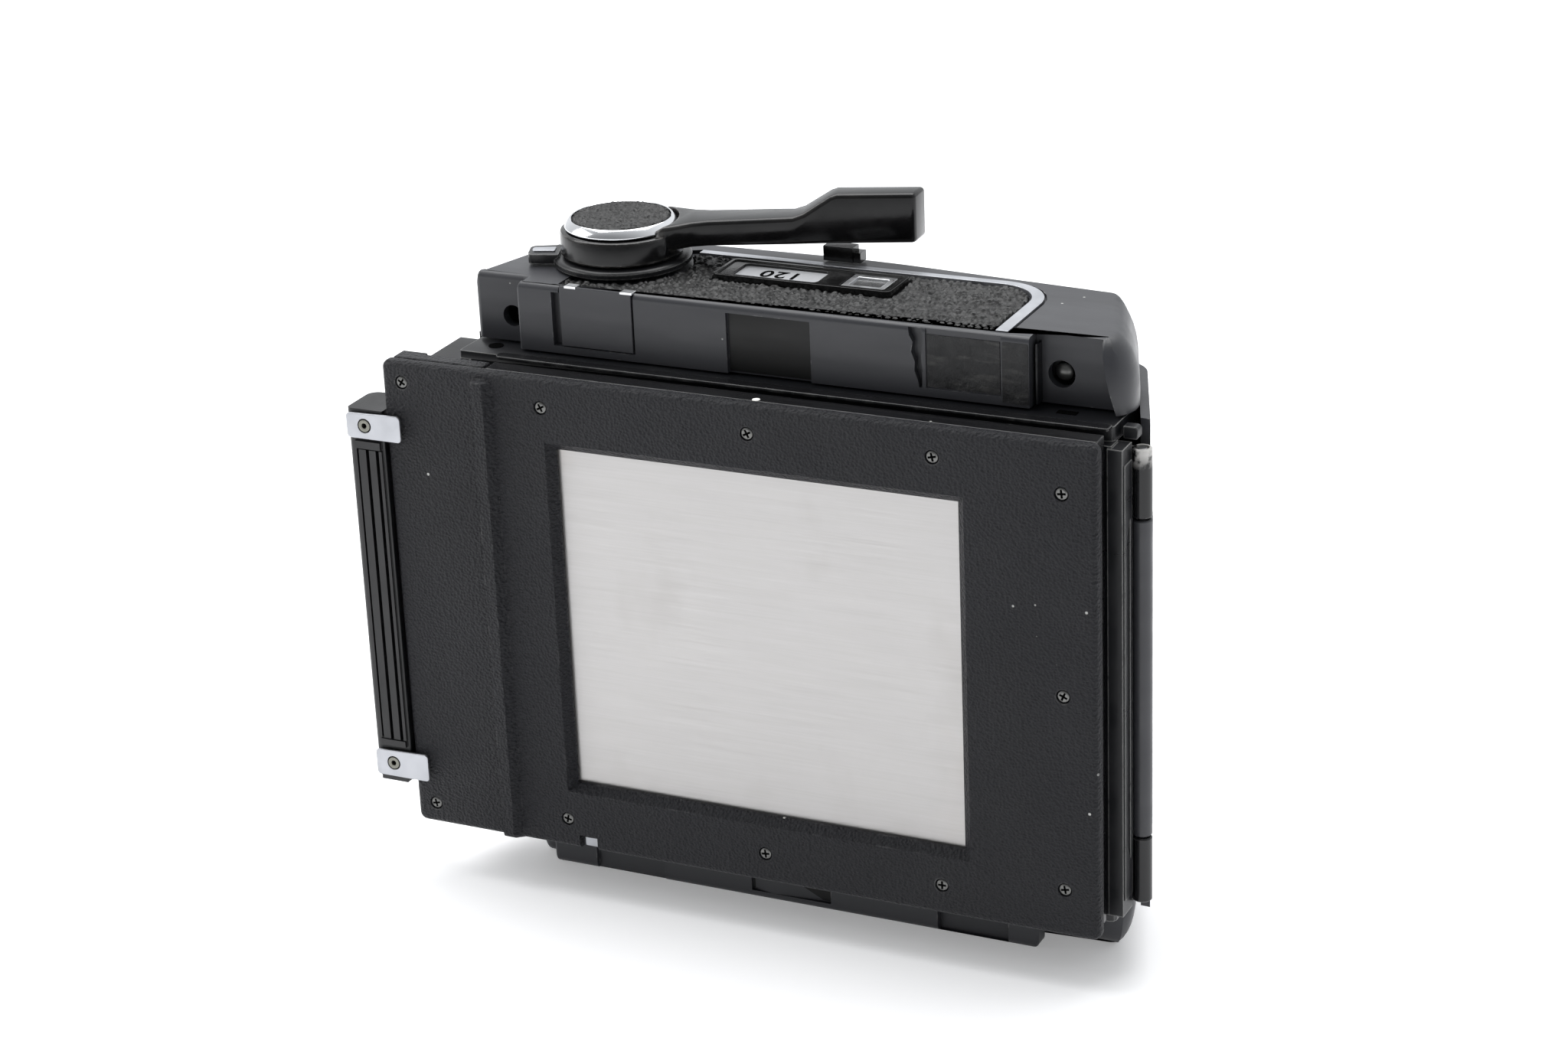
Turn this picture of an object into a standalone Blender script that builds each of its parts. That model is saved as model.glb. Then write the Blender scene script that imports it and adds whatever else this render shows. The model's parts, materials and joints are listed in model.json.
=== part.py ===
"""A detachable roll-film holder for a press camera, standing on its lower housing.

Every piece is worked out in millimetres from the lower left corner of the front plate's face:
x runs to the right along the plate, y runs back from its face, and z runs up. The last step
of each piece moves it to metres, with the origin at the middle of the base.
"""

import math

import bmesh
import bpy
from mathutils import Matrix, Vector

# The whole object's box, which places the origin.
LEFT_X, RIGHT_X = -8.7, 133.15
FRONT_Y, REAR_Y = -1.15, 45.74
BASE_Z = -11.0
ORIGIN = Vector(((LEFT_X + RIGHT_X) / 2, (FRONT_Y + REAR_Y) / 2, BASE_Z))
MM = 0.001
GAP = 0.35

# Front plate, and the window in it that the dark slide closes.
FACE_W, FACE_H = 127.0, 84.9
PLATE_EDGE = 1.2
PLATE_T = 1.8
WINDOW_X = (31.2, 104.0)
WINDOW_Z = (11.1, 73.3)
WINDOW_CHAMFER = 1.5
RIDGE_X = 17.6
SCREW_PLACES = (
    (2.7, 82.4), (29.4, 80.9), (67.6, 80.9), (100.2, 80.9), (122.1, 77.4), (122.1, 42.4),
    (122.1, 7.5), (100.2, 4.3), (67.6, 4.3), (29.4, 4.3), (2.7, 2.8),
)

# Dark slide and its handle.
SLIDE_Y = (2.15, 2.65)
SLIDE_Z = (8.9, 75.4)
SLIDE_X = (-6.5, 108.0)
HANDLE_X = (LEFT_X, -PLATE_EDGE - GAP)
HANDLE_Y = (-0.2, 8.5)
HANDLE_Z = (6.2, 76.7)
CLIP_Z = ((71.6, 76.4), (7.3, 12.5))
CLIP_SCREW_X = -5.1

# Frame behind the plate, then the body with its decks.
FRAME_Y = (2.1, 5.6)
WALL_Y = (6.0, 9.0)
DECK_Z = (83.6, 86.4)
FLANGE_X = (127.7, 130.3)
GATE_X = (32.85, 102.35)
GATE_Z = (14.3, 70.3)

# Housings above and below the decks.
HOUSING_Z = (86.8, 98.7)
FOOT_Z = (-1.9, BASE_Z)
HOUSING_Y = 11.0
RECESS_Y = 14.4

# Winding axis, spools and gears.
HUB = Vector((32.4, 27.0))
SUPPLY = Vector((99.5, 26.4))
SPOOL_Z = (9.6, 75.2)
SPOOL_FLANGE_R = 12.5
SPOOL_CORE_R = 5.6
STUD_R = 2.2
GEAR_Z = (88.4, 90.6)
GEAR_MODULE = 1.0
WIND_TEETH, IDLER_TEETH, COUNTER_TEETH = 16, 20, 16
IDLER = Vector((HUB.x + GEAR_MODULE * (WIND_TEETH + IDLER_TEETH) / 2, HUB.y))
COUNTER = Vector((IDLER.x + GEAR_MODULE * (IDLER_TEETH + COUNTER_TEETH) / 2, HUB.y))

# Outlines seen from above, as corners (x, y, radius).
DOOR_OUTER = [
    (7.9, 18.4, 0), (131.9, 14.2, 0), (122.6, 39.3, 6), (72, 43.7, 150), (15.8, 42.3, 14),
]
DOOR_INNER = [
    (5.05, 5.0, 0), (133.7, 5.0, 0), (121.45, 37.9, 4.5), (72, 42.2, 150), (16.9, 40.85, 12.5),
]
DECK_OUTLINE = [
    (9.8, 8.0, 0.5), (127.9, 8.0, 1), (127.9, 19.2, 2), (119.8, 37.2, 4.5), (72, 41.4, 150),
    (17.9, 39.8, 12), (10.2, 18.4, 1),
]
HOUSING_OUTLINE = [
    (20.0, HOUSING_Y, 0.4), (113.0, HOUSING_Y, 0.4), (113.0, RECESS_Y, 0.4), (129.3, RECESS_Y, 3),
    (121.6, 37.7, 5), (72, 42.1, 150), (17.6, 40.7, 13), (9.8, RECESS_Y, 0.8), (20.0, RECESS_Y, 0.4),
]
TOP_OUTLINE = [
    (20.0, HOUSING_Y, 0.4), (112.9, HOUSING_Y, 0), (113.1, HOUSING_Y, 0), (130.4, HOUSING_Y, 2.4),
    *HOUSING_OUTLINE[4:],
]
DOOR_Z = (-0.9, 86.2)

# The covering let into the top, its trim, and the windows in it.
SKIN_Z = (98.3, 98.75)
THROUGH_Z = (97, 101)
SKIN_POCKET = [
    (27.4, 12.2, 0), (109.0, 12.2, 0), (109.0, 37.0, 9.6), (42.4, 37.0, 0), (27.4, 30.0, 0),
]
SKIN_OUTLINE = [
    (27.8, 12.55, 0.5), (106.0, 12.55, 0), (106.0, 34.6, 7.2), (43.0, 34.6, 0), (27.8, 29.0, 0),
]
TRIM_OUTER = [(43.0, 12.55, 0), (108.6, 12.55, 0), (108.6, 36.6, 9.2), (43.0, 36.6, 0)]
TRIM_INNER = [(40.0, 10.0, 0), (106.35, 10.0, 0), (106.35, 34.95, 7.5), (40.0, 34.95, 0)]
BEZEL_X, BEZEL_Y = (51.0, 83.5), (23.2, 32.3)
LABEL_X, LABEL_Y = (54.4, 69.2), (25.1, 30.6)
GLASS_X, GLASS_Y = (74.2, 81.3), (25.3, 31.3)

# Rollers that turn the film at each end of the gate.
ROLLERS = (Vector((16.8, 13.3)), Vector((118.2, 13.3)))
ROLLER_R, ROLLER_END_R = 3.0, 1.2

# Lever, and the parts that turn below it.
SHAFT_R, SHAFT_BORE = 3.0, 3.35
DRUM_R = 10.6
LEVER_Z = (100.8, 105.1)
COLLAR_R = 4.2

# The solver for the pieces whose faces meet in the same planes.
SOLVER = "MANIFOLD"

# Hinge on the right.
HINGE = Vector((131.5, 11.5))
KNUCKLE_R = 1.65
KNUCKLE_BORE = 1.15
PIN_R = 0.8
KNUCKLE_Z = (2.0, 13.9, 70.4, 82.4)

LEVER_ANGLE = math.radians(19)


# ---------------------------------------------------------------- materials

def material(name, colour, roughness, metallic=0.0):
    found = bpy.data.materials.get(name)
    if found:
        return found
    made = bpy.data.materials.new(name)
    made.use_nodes = True
    shader = made.node_tree.nodes["Principled BSDF"]
    shader.inputs["Base Color"].default_value = (*colour, 1)
    shader.inputs["Roughness"].default_value = roughness
    shader.inputs["Metallic"].default_value = metallic
    made.diffuse_color = (*colour, 1)
    return made


BLACK_GRAIN = material("black_grained_plate", (0.020, 0.020, 0.021), 0.55)
BLACK_PAINT = material("black_satin_paint", (0.018, 0.018, 0.020), 0.32, 0.2)
BLACK_PLASTIC = material("black_plastic", (0.022, 0.022, 0.024), 0.42)
LEATHERETTE = material("leatherette", (0.015, 0.015, 0.015), 0.6)
SLIDE_STEEL = material("slide_steel", (0.62, 0.60, 0.57), 0.42, 0.85)
BRIGHT_ALLOY = material("bright_alloy", (0.80, 0.81, 0.83), 0.28, 1.0)
CHROME = material("chrome_ring", (0.85, 0.86, 0.88), 0.12, 1.0)
SCREW_STEEL = material("dark_screw_steel", (0.16, 0.16, 0.16), 0.4, 0.9)
GEAR_BRASS = material("gear_brass", (0.62, 0.48, 0.22), 0.35, 1.0)
SPRING_STEEL = material("spring_steel", (0.45, 0.45, 0.46), 0.3, 1.0)
LABEL_WHITE = material("label_white", (0.78, 0.79, 0.80), 0.45)
GLASS = material("window_glass", (0.75, 0.78, 0.80), 0.08)


# ---------------------------------------------------------------- shapes, in millimetres

def raw(mesh_maker):
    """A working object from a bmesh, for use as a piece or as a tool."""
    bmesh.ops.remove_doubles(mesh_maker, verts=mesh_maker.verts, dist=1e-5)
    bmesh.ops.recalc_face_normals(mesh_maker, faces=mesh_maker.faces)
    mesh = bpy.data.meshes.new("shape")
    mesh_maker.to_mesh(mesh)
    mesh_maker.free()
    made = bpy.data.objects.new("shape", mesh)
    bpy.context.scene.collection.objects.link(made)
    return made


def boolean(base, operation, tools, solver):
    for tool in tools:
        modifier = base.modifiers.new(operation, "BOOLEAN")
        modifier.operation = operation
        modifier.solver = solver
        modifier.object = tool
    graph = bpy.context.evaluated_depsgraph_get()
    mesh = bpy.data.meshes.new_from_object(base.evaluated_get(graph))
    base.modifiers.clear()
    base.data = mesh
    for tool in tools:
        bpy.data.objects.remove(tool)
    return base


def cut(base, *tools, solver="EXACT"):
    return boolean(base, "DIFFERENCE", tools, solver)


def fuse(base, *tools, solver="EXACT"):
    return boolean(base, "UNION", tools, solver)


def box(x, y, z, bevel=0.0):
    """A block between two values on each axis, with its edges bevelled when asked."""
    shape = bmesh.new()
    centre = Vector(((x[0] + x[1]) / 2, (y[0] + y[1]) / 2, (z[0] + z[1]) / 2))
    size = Matrix.Diagonal((x[1] - x[0], y[1] - y[0], z[1] - z[0], 1))
    bmesh.ops.create_cube(shape, size=1, matrix=Matrix.Translation(centre) @ size)
    if bevel:
        bmesh.ops.bevel(
            shape, geom=shape.edges[:], offset=bevel, segments=1, profile=0.5,
            affect="EDGES", material=-1,
        )
    return raw(shape)


def loft(rings):
    """A closed solid through rings of points that correspond one to one."""
    shape = bmesh.new()
    rows = [[shape.verts.new(point) for point in ring] for ring in rings]
    count = len(rows[0])
    for low, high in zip(rows, rows[1:]):
        for i in range(count):
            j = (i + 1) % count
            shape.faces.new((low[i], low[j], high[j], high[i]))
    shape.faces.new(reversed(rows[0]))
    shape.faces.new(rows[-1])
    return raw(shape)


def prism(outline, z):
    return loft([[(x, y, level) for x, y in outline] for level in z])


def upright(outline, y):
    """An x-z outline given depth along y."""
    return loft([[(x, level, z) for x, z in outline] for level in y])


def rounded(corners):
    """An outline from corners (x, y, radius), each turned into an arc."""
    outline = []
    count = len(corners)
    for i, (x, y, radius) in enumerate(corners):
        here = Vector((x, y))
        before = (Vector(corners[i - 1][:2]) - here).normalized()
        after = (Vector(corners[(i + 1) % count][:2]) - here).normalized()
        if radius == 0:
            outline.append(tuple(here))
            continue
        half = before.angle(after) / 2
        centre = here + (before + after).normalized() * radius / math.sin(half)
        start = here + before * radius / math.tan(half) - centre
        turn = math.pi - 2 * half
        if before.x * after.y - before.y * after.x > 0:
            turn = -turn
        steps = 2 if radius < 2 else 4
        for k in range(steps + 1):
            point = centre + Matrix.Rotation(turn * k / steps, 2) @ start
            outline.append(tuple(point))
    return outline


def normals(outline):
    """The outward mitre at each point of a counter-clockwise outline."""
    found = []
    count = len(outline)
    for i in range(count):
        here = Vector(outline[i])
        ahead = (Vector(outline[(i + 1) % count]) - here).normalized()
        behind = (here - Vector(outline[i - 1])).normalized()
        side_a = Vector((ahead.y, -ahead.x))
        side_b = Vector((behind.y, -behind.x))
        found.append((side_a + side_b) / (1 + side_a.dot(side_b)))
    return found


def grown(outline, distance):
    """The outline moved outwards by a distance, or inwards when it is negative."""
    pairs = zip(outline, normals(outline))
    return [tuple(Vector(point) + out * distance) for point, out in pairs]


def turned(profile, centre, sides=24):
    """A solid of revolution about the vertical axis through centre, from (radius, z) points."""
    shape = bmesh.new()
    points = [shape.verts.new((radius, 0, z)) for radius, z in profile]
    count = len(points)
    hollow = all(radius > 0 for radius, _ in profile)
    last = count if hollow else count - 1
    edges = [shape.edges.new((points[i], points[(i + 1) % count])) for i in range(last)]
    bmesh.ops.spin(
        shape, geom=points + edges, cent=(0, 0, 0), axis=(0, 0, 1),
        angle=2 * math.pi, steps=sides, use_merge=True,
    )
    bmesh.ops.translate(shape, verts=shape.verts, vec=(centre[0], centre[1], 0))
    return raw(shape)


def rod(radius, centre, z, sides=16):
    return turned([(0, z[0]), (radius, z[0]), (radius, z[1]), (0, z[1])], centre, sides)


def along_y(made, x, z):
    """Turns a shape made about the vertical axis at (0, 0) so that its z runs along y."""
    made.data.transform(Matrix.Translation((x, 0, z)) @ Matrix.Rotation(math.pi / 2, 4, "X"))
    return made


def stud_y(profile, x, z, sides=10):
    """A turned shape whose profile gives (radius, y) and whose axis runs along y."""
    flipped = [(radius, -y) for radius, y in reversed(profile)]
    return along_y(turned(flipped, (0, 0), sides), x, z)


def gear(teeth, centre, z, bore, tooth_at=0.0):
    """A spur gear with straight flanks, and room between its teeth for the gear it meets."""
    pitch = GEAR_MODULE * teeth / 2
    step = 2 * math.pi / teeth
    outline = []
    for tooth in range(teeth):
        middle = tooth_at + tooth * step
        for radius, share in ((-1.1, -0.3), (0.8, -0.12), (0.8, 0.12), (-1.1, 0.3)):
            angle = middle + share * step
            reach = pitch + radius * GEAR_MODULE
            outline.append((centre.x + reach * math.cos(angle), centre.y + reach * math.sin(angle)))
    wheel = prism(outline, z)
    if bore:
        wheel = cut(wheel, rod(bore, centre, (z[0] - 1, z[1] + 1), 12))
    return wheel


def coil(centre, radius, wire, z, turns):
    """A round helical spring of the given wire radius."""
    sides, steps = 4, 9
    total = turns * steps
    rise = z[1] - z[0] - 2 * wire
    rings = []
    for k in range(total + 1):
        angle = 2 * math.pi * k / steps
        out = Vector((math.cos(angle), math.sin(angle), 0))
        middle = Vector((centre[0], centre[1], z[0] + wire + rise * k / total)) + out * radius
        ring = []
        for side in range(sides):
            lean = 2 * math.pi * (side + 0.5) / sides
            ring.append(middle + out * wire * math.cos(lean) + Vector((0, 0, wire * math.sin(lean))))
        rings.append(ring)
    return loft(rings)


# ---------------------------------------------------------------- finished pieces

def piece(name, made, finish, pivot=None):
    """Names a shape, moves it to metres and puts its origin on its pivot."""
    centre = ORIGIN if pivot is None else Vector(pivot)
    made.data.transform(Matrix.Scale(MM, 4) @ Matrix.Translation(-centre))
    made.location = (centre - ORIGIN) * MM
    made.name = name
    made.data.name = name
    made.data.materials.clear()
    made.data.materials.append(finish)
    made.data.shade_smooth()
    made.data.set_sharp_from_angle(angle=math.radians(35))
    return made


def slide_pocket(x):
    """The shallow bed, open to the front, that the dark slide runs in."""
    return box(x, (FRAME_Y[0] - 1, SLIDE_Y[1] + GAP), (SLIDE_Z[0] - 0.6, SLIDE_Z[1] + 0.6))


def window_cutter(y):
    return box(WINDOW_X, y, WINDOW_Z)


def screw_holes(places, y):
    return [stud_y([(0, y[0]), (0.95, y[0]), (0.95, y[1]), (0, y[1])], x, z, 8) for x, z in places]


def front_plate():
    def ring(inset, y):
        low = inset - PLATE_EDGE
        right = FACE_W - low
        top = FACE_H - low
        corners = [(low, low, 1.6), (right, low, 1.6), (right, top, 1.6), (low, top, 1.6)]
        return [(x, y, z) for x, z in rounded(corners)]

    plate = loft([ring(PLATE_EDGE, 0), ring(0, 1.0), ring(0, PLATE_T)])
    ridge_outline = [(-0.9, 0.4), (-0.8, -0.9), (0.9, -0.9), (3, 0.4)]
    ridge_z = (-PLATE_EDGE + 0.3, FACE_H + PLATE_EDGE - 0.3)
    ridge = prism([(RIDGE_X + across, y) for across, y in ridge_outline], ridge_z)
    slope = [
        [(WINDOW_X[a] + way * grow, y, WINDOW_Z[b] + up * grow)
         for a, b, way, up in ((0, 0, -1, -1), (1, 0, 1, -1), (1, 1, 1, 1), (0, 1, -1, 1))]
        for y, grow in ((-1, WINDOW_CHAMFER * 1.8), (1.3, 0), (PLATE_T + 1, 0))
    ]
    holes = [
        stud_y([(0, -1), (1.5, -1), (1.5, 0.15), (0.95, 0.95), (0.95, 3), (0, 3)], x, z, 10)
        for x, z in SCREW_PLACES
    ]
    plate = cut(fuse(plate, ridge), loft(slope), *holes)
    return piece("front_plate", plate, BLACK_GRAIN)


def plate_screws():
    profile = [(0, 0.02), (1.15, 0.02), (1.15, 0.2), (0.6, 0.85), (0.6, 4.0), (0, 4.0)]
    for number, (x, z) in enumerate(SCREW_PLACES, 1):
        piece(f"plate_screw_{number:02d}", stud_y(profile, x, z), SCREW_STEEL)


def light_trap_block():
    block = box((0.2, RIDGE_X + 0.1), FRAME_Y, (-0.8, 86.2))
    step = box((5.1, 20), (FRAME_Y[1] - 0.8, 7), (85.5, 90))
    tools = screw_holes((SCREW_PLACES[0], SCREW_PLACES[-1]), (1, 4.6))
    block = cut(block, slide_pocket((-1, 20)), step, *tools)
    return piece("light_trap_block", block, BLACK_GRAIN)


def slide_frame():
    frame = box((RIDGE_X + 0.45, 127.3), FRAME_Y, (0, 86.0))
    tools = screw_holes(SCREW_PLACES[1:-1], (1, 4.6))
    frame = cut(frame, slide_pocket((10, SLIDE_X[1] + 0.8)), window_cutter((0, 9)), *tools)
    return piece("slide_frame", frame, BLACK_PAINT)


def dark_slide():
    return piece("dark_slide", box(SLIDE_X, SLIDE_Y, SLIDE_Z), SLIDE_STEEL)


def slide_handle():
    left, right = HANDLE_X
    front, back = HANDLE_Y
    corners = [(left, front, 0.7), (right, front, 0), (right, back, 0.7), (left, back, 1.5)]
    handle = prism(rounded(corners), HANDLE_Z)
    middle = (CLIP_Z[1][1] + 2.2, CLIP_Z[0][0] - 2.2)
    groove_y = (front - 1, front + 0.7)
    tools = [box((left + start, left + start + 0.5), groove_y, middle) for start in (2.2, 4.1, 6.0)]
    slot_x = (SLIDE_X[0] - GAP, right + 1)
    slot_y = (SLIDE_Y[0] - GAP, SLIDE_Y[1] + GAP)
    tools.append(box(slot_x, slot_y, (SLIDE_Z[0] - GAP, SLIDE_Z[1] + GAP)))
    hole = [(0, -2), (0.95, -2), (0.95, 1.7), (0, 1.7)]
    for low, high in CLIP_Z:
        tools.append(stud_y(hole, CLIP_SCREW_X, (low + high) / 2, 8))
    return piece("slide_handle", cut(handle, *tools), BLACK_PLASTIC)


def clips():
    screw = [(0, FRONT_Y), (1.2, FRONT_Y), (1.2, -0.75), (0.6, -0.75), (0.6, 1.4), (0, 1.4)]
    for (low, high), side in zip(CLIP_Z, ("upper", "lower")):
        corners = [(LEFT_X, low, 0.9), (2.4, low, 0.5), (2.4, high, 0.5), (LEFT_X, high, 0.9)]
        middle = (low + high) / 2
        hole = stud_y([(0, -3), (1.55, -3), (1.55, 1), (0, 1)], CLIP_SCREW_X, middle, 12)
        clip = cut(upright(rounded(corners), (-1.1, -0.55)), hole)
        piece(f"slide_clip_{side}", clip, BRIGHT_ALLOY)
        piece(f"clip_screw_{side}", stud_y(screw, CLIP_SCREW_X, middle, 12), SCREW_STEEL)


def back_door():
    hollow = prism(rounded(DOOR_INNER), (DOOR_Z[0] - 1, DOOR_Z[1] + 1))
    shell = cut(prism(rounded(DOOR_OUTER), DOOR_Z), hollow)
    web = box((130.7, 132.0), (HINGE.y + 0.6, 15.2), (KNUCKLE_Z[1] + GAP, KNUCKLE_Z[2] - GAP))
    barrel = rod(KNUCKLE_R, HINGE, (KNUCKLE_Z[1] + GAP / 2, KNUCKLE_Z[2] - GAP / 2))
    shell = fuse(shell, web, barrel)
    shell = cut(shell, rod(KNUCKLE_BORE, HINGE, (0, 90), 12))
    return piece("back_door", shell, BLACK_PAINT, (HINGE.x, HINGE.y, 42))


def holder_body():
    wall = box((4.4, FLANGE_X[1] - 2), WALL_Y, (0.9, 84.0))
    flange = box(FLANGE_X, (FRAME_Y[1] - 0.1, 9.9), (1.2, 83.7))
    link = box((120, FLANGE_X[1] - 1), (6.5, 9.0), (1.5, 83.4))
    left = box((4.4, 6.2), (6.5, 17.8), (-0.1, 85.0))
    top_left = box((4.4, 12), (6.5, 17.8), (83.0, 85.0))
    low_left = box((4.4, 12), (6.5, 17.8), (-0.1, 1.9))
    deck = rounded(DECK_OUTLINE)
    top_deck = prism(deck, DECK_Z)
    low_deck = prism(deck, (FACE_H - DECK_Z[1], FACE_H - DECK_Z[0]))
    body = fuse(wall, flange, link, left, top_left, low_left, top_deck, low_deck, solver=SOLVER)
    gate = box(GATE_X, (0, 12), GATE_Z)
    tools = [gate, rod(3.4, HUB, (80, 90), 16), rod(STUD_R + 0.4, SUPPLY, (80, 90), 12)]
    tools += [rod(2.0, centre, (-3, 3), 12) for centre in (HUB, SUPPLY)]
    tools.append(box((58, 78), (19, 33), (-3, 3)))  # a cored slot, for the interlock's link
    for centre in ROLLERS:
        tools.append(rod(ROLLER_END_R + GAP, centre, (80, 85.2), 10))
        tools.append(rod(ROLLER_END_R + GAP, centre, (-0.3, 5), 10))
    return piece("holder_body", cut(body, *tools, solver=SOLVER), BLACK_PAINT)


def shoulder(out, x):
    """How far the top edge of a housing is rounded (inwards, downwards) where it faces this way."""
    if out.x > 0.35 and x > 114:
        return 3.2, 6.5
    if out.y < -0.3 and x > 113:
        return 3.4, 9.0
    if out.y > 0.3:
        return 1.6, 1.9
    if out.x < -0.35 and x < 19:
        return 1.6, 2.4
    return 0.9, 1.0


def cavity(right_front, right_rear):
    """The corners of a housing's hollow, a wall's thickness inside its outline."""
    return [
        (21.8, 12.8, 0), (111.2, 12.8, 0), (111.2, 16.2, 0), right_front, right_rear,
        (72, 40.1, 150), (18.9, 38.8, 11), (12.0, 16.2, 0), (21.8, 16.2, 0),
    ]


def housing(corners, base, top):
    """A hollow housing, open towards its deck, with its outer edge rounded."""
    outline = rounded(corners)
    mitres = normals(outline)
    sizes = [shoulder(out, x) for (x, _), out in zip(outline, mitres)]
    way = 1 if top > base else -1

    def ring(inset, level):
        return [
            (x - out.x * inset(wide), y - out.y * inset(wide), level(deep))
            for (x, y), out, (wide, deep) in zip(outline, mitres, sizes)
        ]

    rings = [ring(lambda wide: 0, lambda deep: base)]
    for k in range(4):
        lean = k * math.pi / 6
        rings.append(ring(
            lambda wide: wide * (1 - math.cos(lean)),
            lambda deep: top - way * deep * (1 - math.sin(lean)),
        ))
    lower = rounded(cavity((126.6, 16.2, 1.5), (120.4, 36.2, 3.5)))
    upper = rounded(cavity((117.0, 16.2, 0.5), (117.0, 36.4, 0.5)))
    low_part = prism(lower, (base - way, top - 8 * way))
    high_part = prism(upper, (base - way, top - 2.3 * way))
    return cut(loft(rings), low_part, high_part, solver=SOLVER)


def top_housing():
    base, top = HOUSING_Z
    shell = housing(TOP_OUTLINE, base, top)
    front = (HOUSING_Y - 2, HOUSING_Y + 0.7)
    recess = [(113, base - 1), (127.0, base - 1), (123.6, top + 1), (113, top + 1)]
    tools = [
        upright(recess, (HOUSING_Y - 2, RECESS_Y)),
        prism(rounded(SKIN_POCKET), (top - 0.7, top + 2)),
        rod(6.0, HUB, (90, 102), 20),
        box((74.6, 80.8), (25.8, 30.8), (90, 102)),
        box((59.2, 74.4), front, (base - 1, top - 1.4)),
        box((28.0, 42.3), front, (88.0, top + 1)),
        box((26.6, 28.4), (HOUSING_Y - 2, HOUSING_Y + 1.2), (88.0, top - 1.5)),
        box((92.6, 94.4), (HOUSING_Y - 2, HOUSING_Y + 1.1), (88.4, top - 0.9)),
        box((94.2, 107.8), (HOUSING_Y - 2, HOUSING_Y + 0.3), (88.2, top + 1)),
        stud_y([(0, 10), (2.3, 10), (2.3, 20), (0, 20)], 116.9, 91.9, 14),
        stud_y([(0, 10), (1.9, 10), (1.9, 20), (0, 20)], 17.2, 91.3, 14),
    ]
    return piece("top_housing", cut(shell, *tools, solver=SOLVER), BLACK_PAINT)


def bottom_housing():
    base, top = FOOT_Z
    shell = housing(HOUSING_OUTLINE, base, top)
    front = (HOUSING_Y - 2, HOUSING_Y + 0.7)
    tools = [
        box((59.2, 74.4), front, (top + 1.4, base + 1)),
        box((28.6, 42.0), (HOUSING_Y - 2, HOUSING_Y + 1.2), (top - 1, base + 1)),
        box((94.4, 107.6), (HOUSING_Y - 2, HOUSING_Y + 1.4), (top - 1, base + 1)),
        stud_y([(0, 10), (2.3, 10), (2.3, 20), (0, 20)], 116.9, -5.6, 14),
    ]
    return piece("bottom_housing", cut(shell, *tools, solver=SOLVER), BLACK_PAINT)


def seat(x, y):
    """The opening that a let-in piece drops into, with a gap all round."""
    return box((x[0] - GAP, x[1] + GAP), (y[0] - GAP, y[1] + GAP), THROUGH_Z)


def top_trim():
    leather = prism(rounded(SKIN_OUTLINE), SKIN_Z)
    leather = cut(leather, seat(BEZEL_X, BEZEL_Y), rod(12.2, HUB, THROUGH_Z, 28))
    piece("top_leatherette", leather, LEATHERETTE)
    strip = prism(rounded(TRIM_OUTER), (SKIN_Z[0], 98.95))
    strip = cut(strip, prism(rounded(TRIM_INNER), THROUGH_Z))
    piece("trim_strip", strip, BRIGHT_ALLOY)
    bezel = box(BEZEL_X, BEZEL_Y, (SKIN_Z[0], 99.5), 0.25)
    bezel = cut(bezel, seat(LABEL_X, LABEL_Y), seat(GLASS_X, GLASS_Y))
    piece("window_bezel", bezel, BLACK_PLASTIC)
    piece("film_type_label", box(LABEL_X, LABEL_Y, (98.35, 98.9)), LABEL_WHITE)
    piece("counter_window", box(GLASS_X, GLASS_Y, (98.4, 99.1)), GLASS)


def wall_panel():
    sheet = box((28.4, 41.9), (HOUSING_Y - 0.2, HOUSING_Y + 0.35), (88.3, 98.9))
    return piece("wall_panel", sheet, BLACK_PAINT)


def lever_frame(points):
    """Turns (along the arm, across it) points about the hub to where the lever rests."""
    turn = Matrix.Rotation(LEVER_ANGLE, 2)
    return [tuple(HUB + turn @ Vector(point)) for point in points]


def winding_lever():
    plan = [
        (4, -7.5), (9.5, -5.6), (12.5, -3.9), (16, -3.3), (28, -3.1), (36, -2.5), (48.6, -2.4),
        (49.3, -1.7), (50.6, 1.9), (50.3, 2.5), (36, 2.6), (28, 3.4), (16, 3.6), (12.5, 4.2),
        (9.5, 5.6), (4, 7.5),
    ]
    side = [
        (-20, 102.3), (49.5, 102.3), (51.5, 103.4), (51.5, 110.6), (50.0, 111.1), (37.0, 111.0),
        (34.5, 110.2), (31.5, 108.2), (28.5, 107.2), (9, 106.6), (-20, 106.4),
    ]
    arm = prism(lever_frame(plan), (102.0, 112.0))
    profile = upright(side, (12, -12))
    profile.data.transform(Matrix.Translation((*HUB, 0)) @ Matrix.Rotation(LEVER_ANGLE, 4, "Z"))
    arm = boolean(arm, "INTERSECT", [profile], "EXACT")
    low, high = LEVER_Z
    arm = cut(arm, rod(10.0, HUB, (high + 0.15, 120), 28))
    drum = turned(
        [(0, low), (DRUM_R - 0.3, low), (DRUM_R, low + 0.5), (DRUM_R, high - 0.5),
         (DRUM_R - 0.4, high), (0, high)],
        HUB, 28,
    )
    lever = cut(fuse(drum, arm), rod(SHAFT_BORE, HUB, (99, 104.0), 16))
    return piece("winding_lever", lever, BLACK_PAINT, (*HUB, 103))


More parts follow.
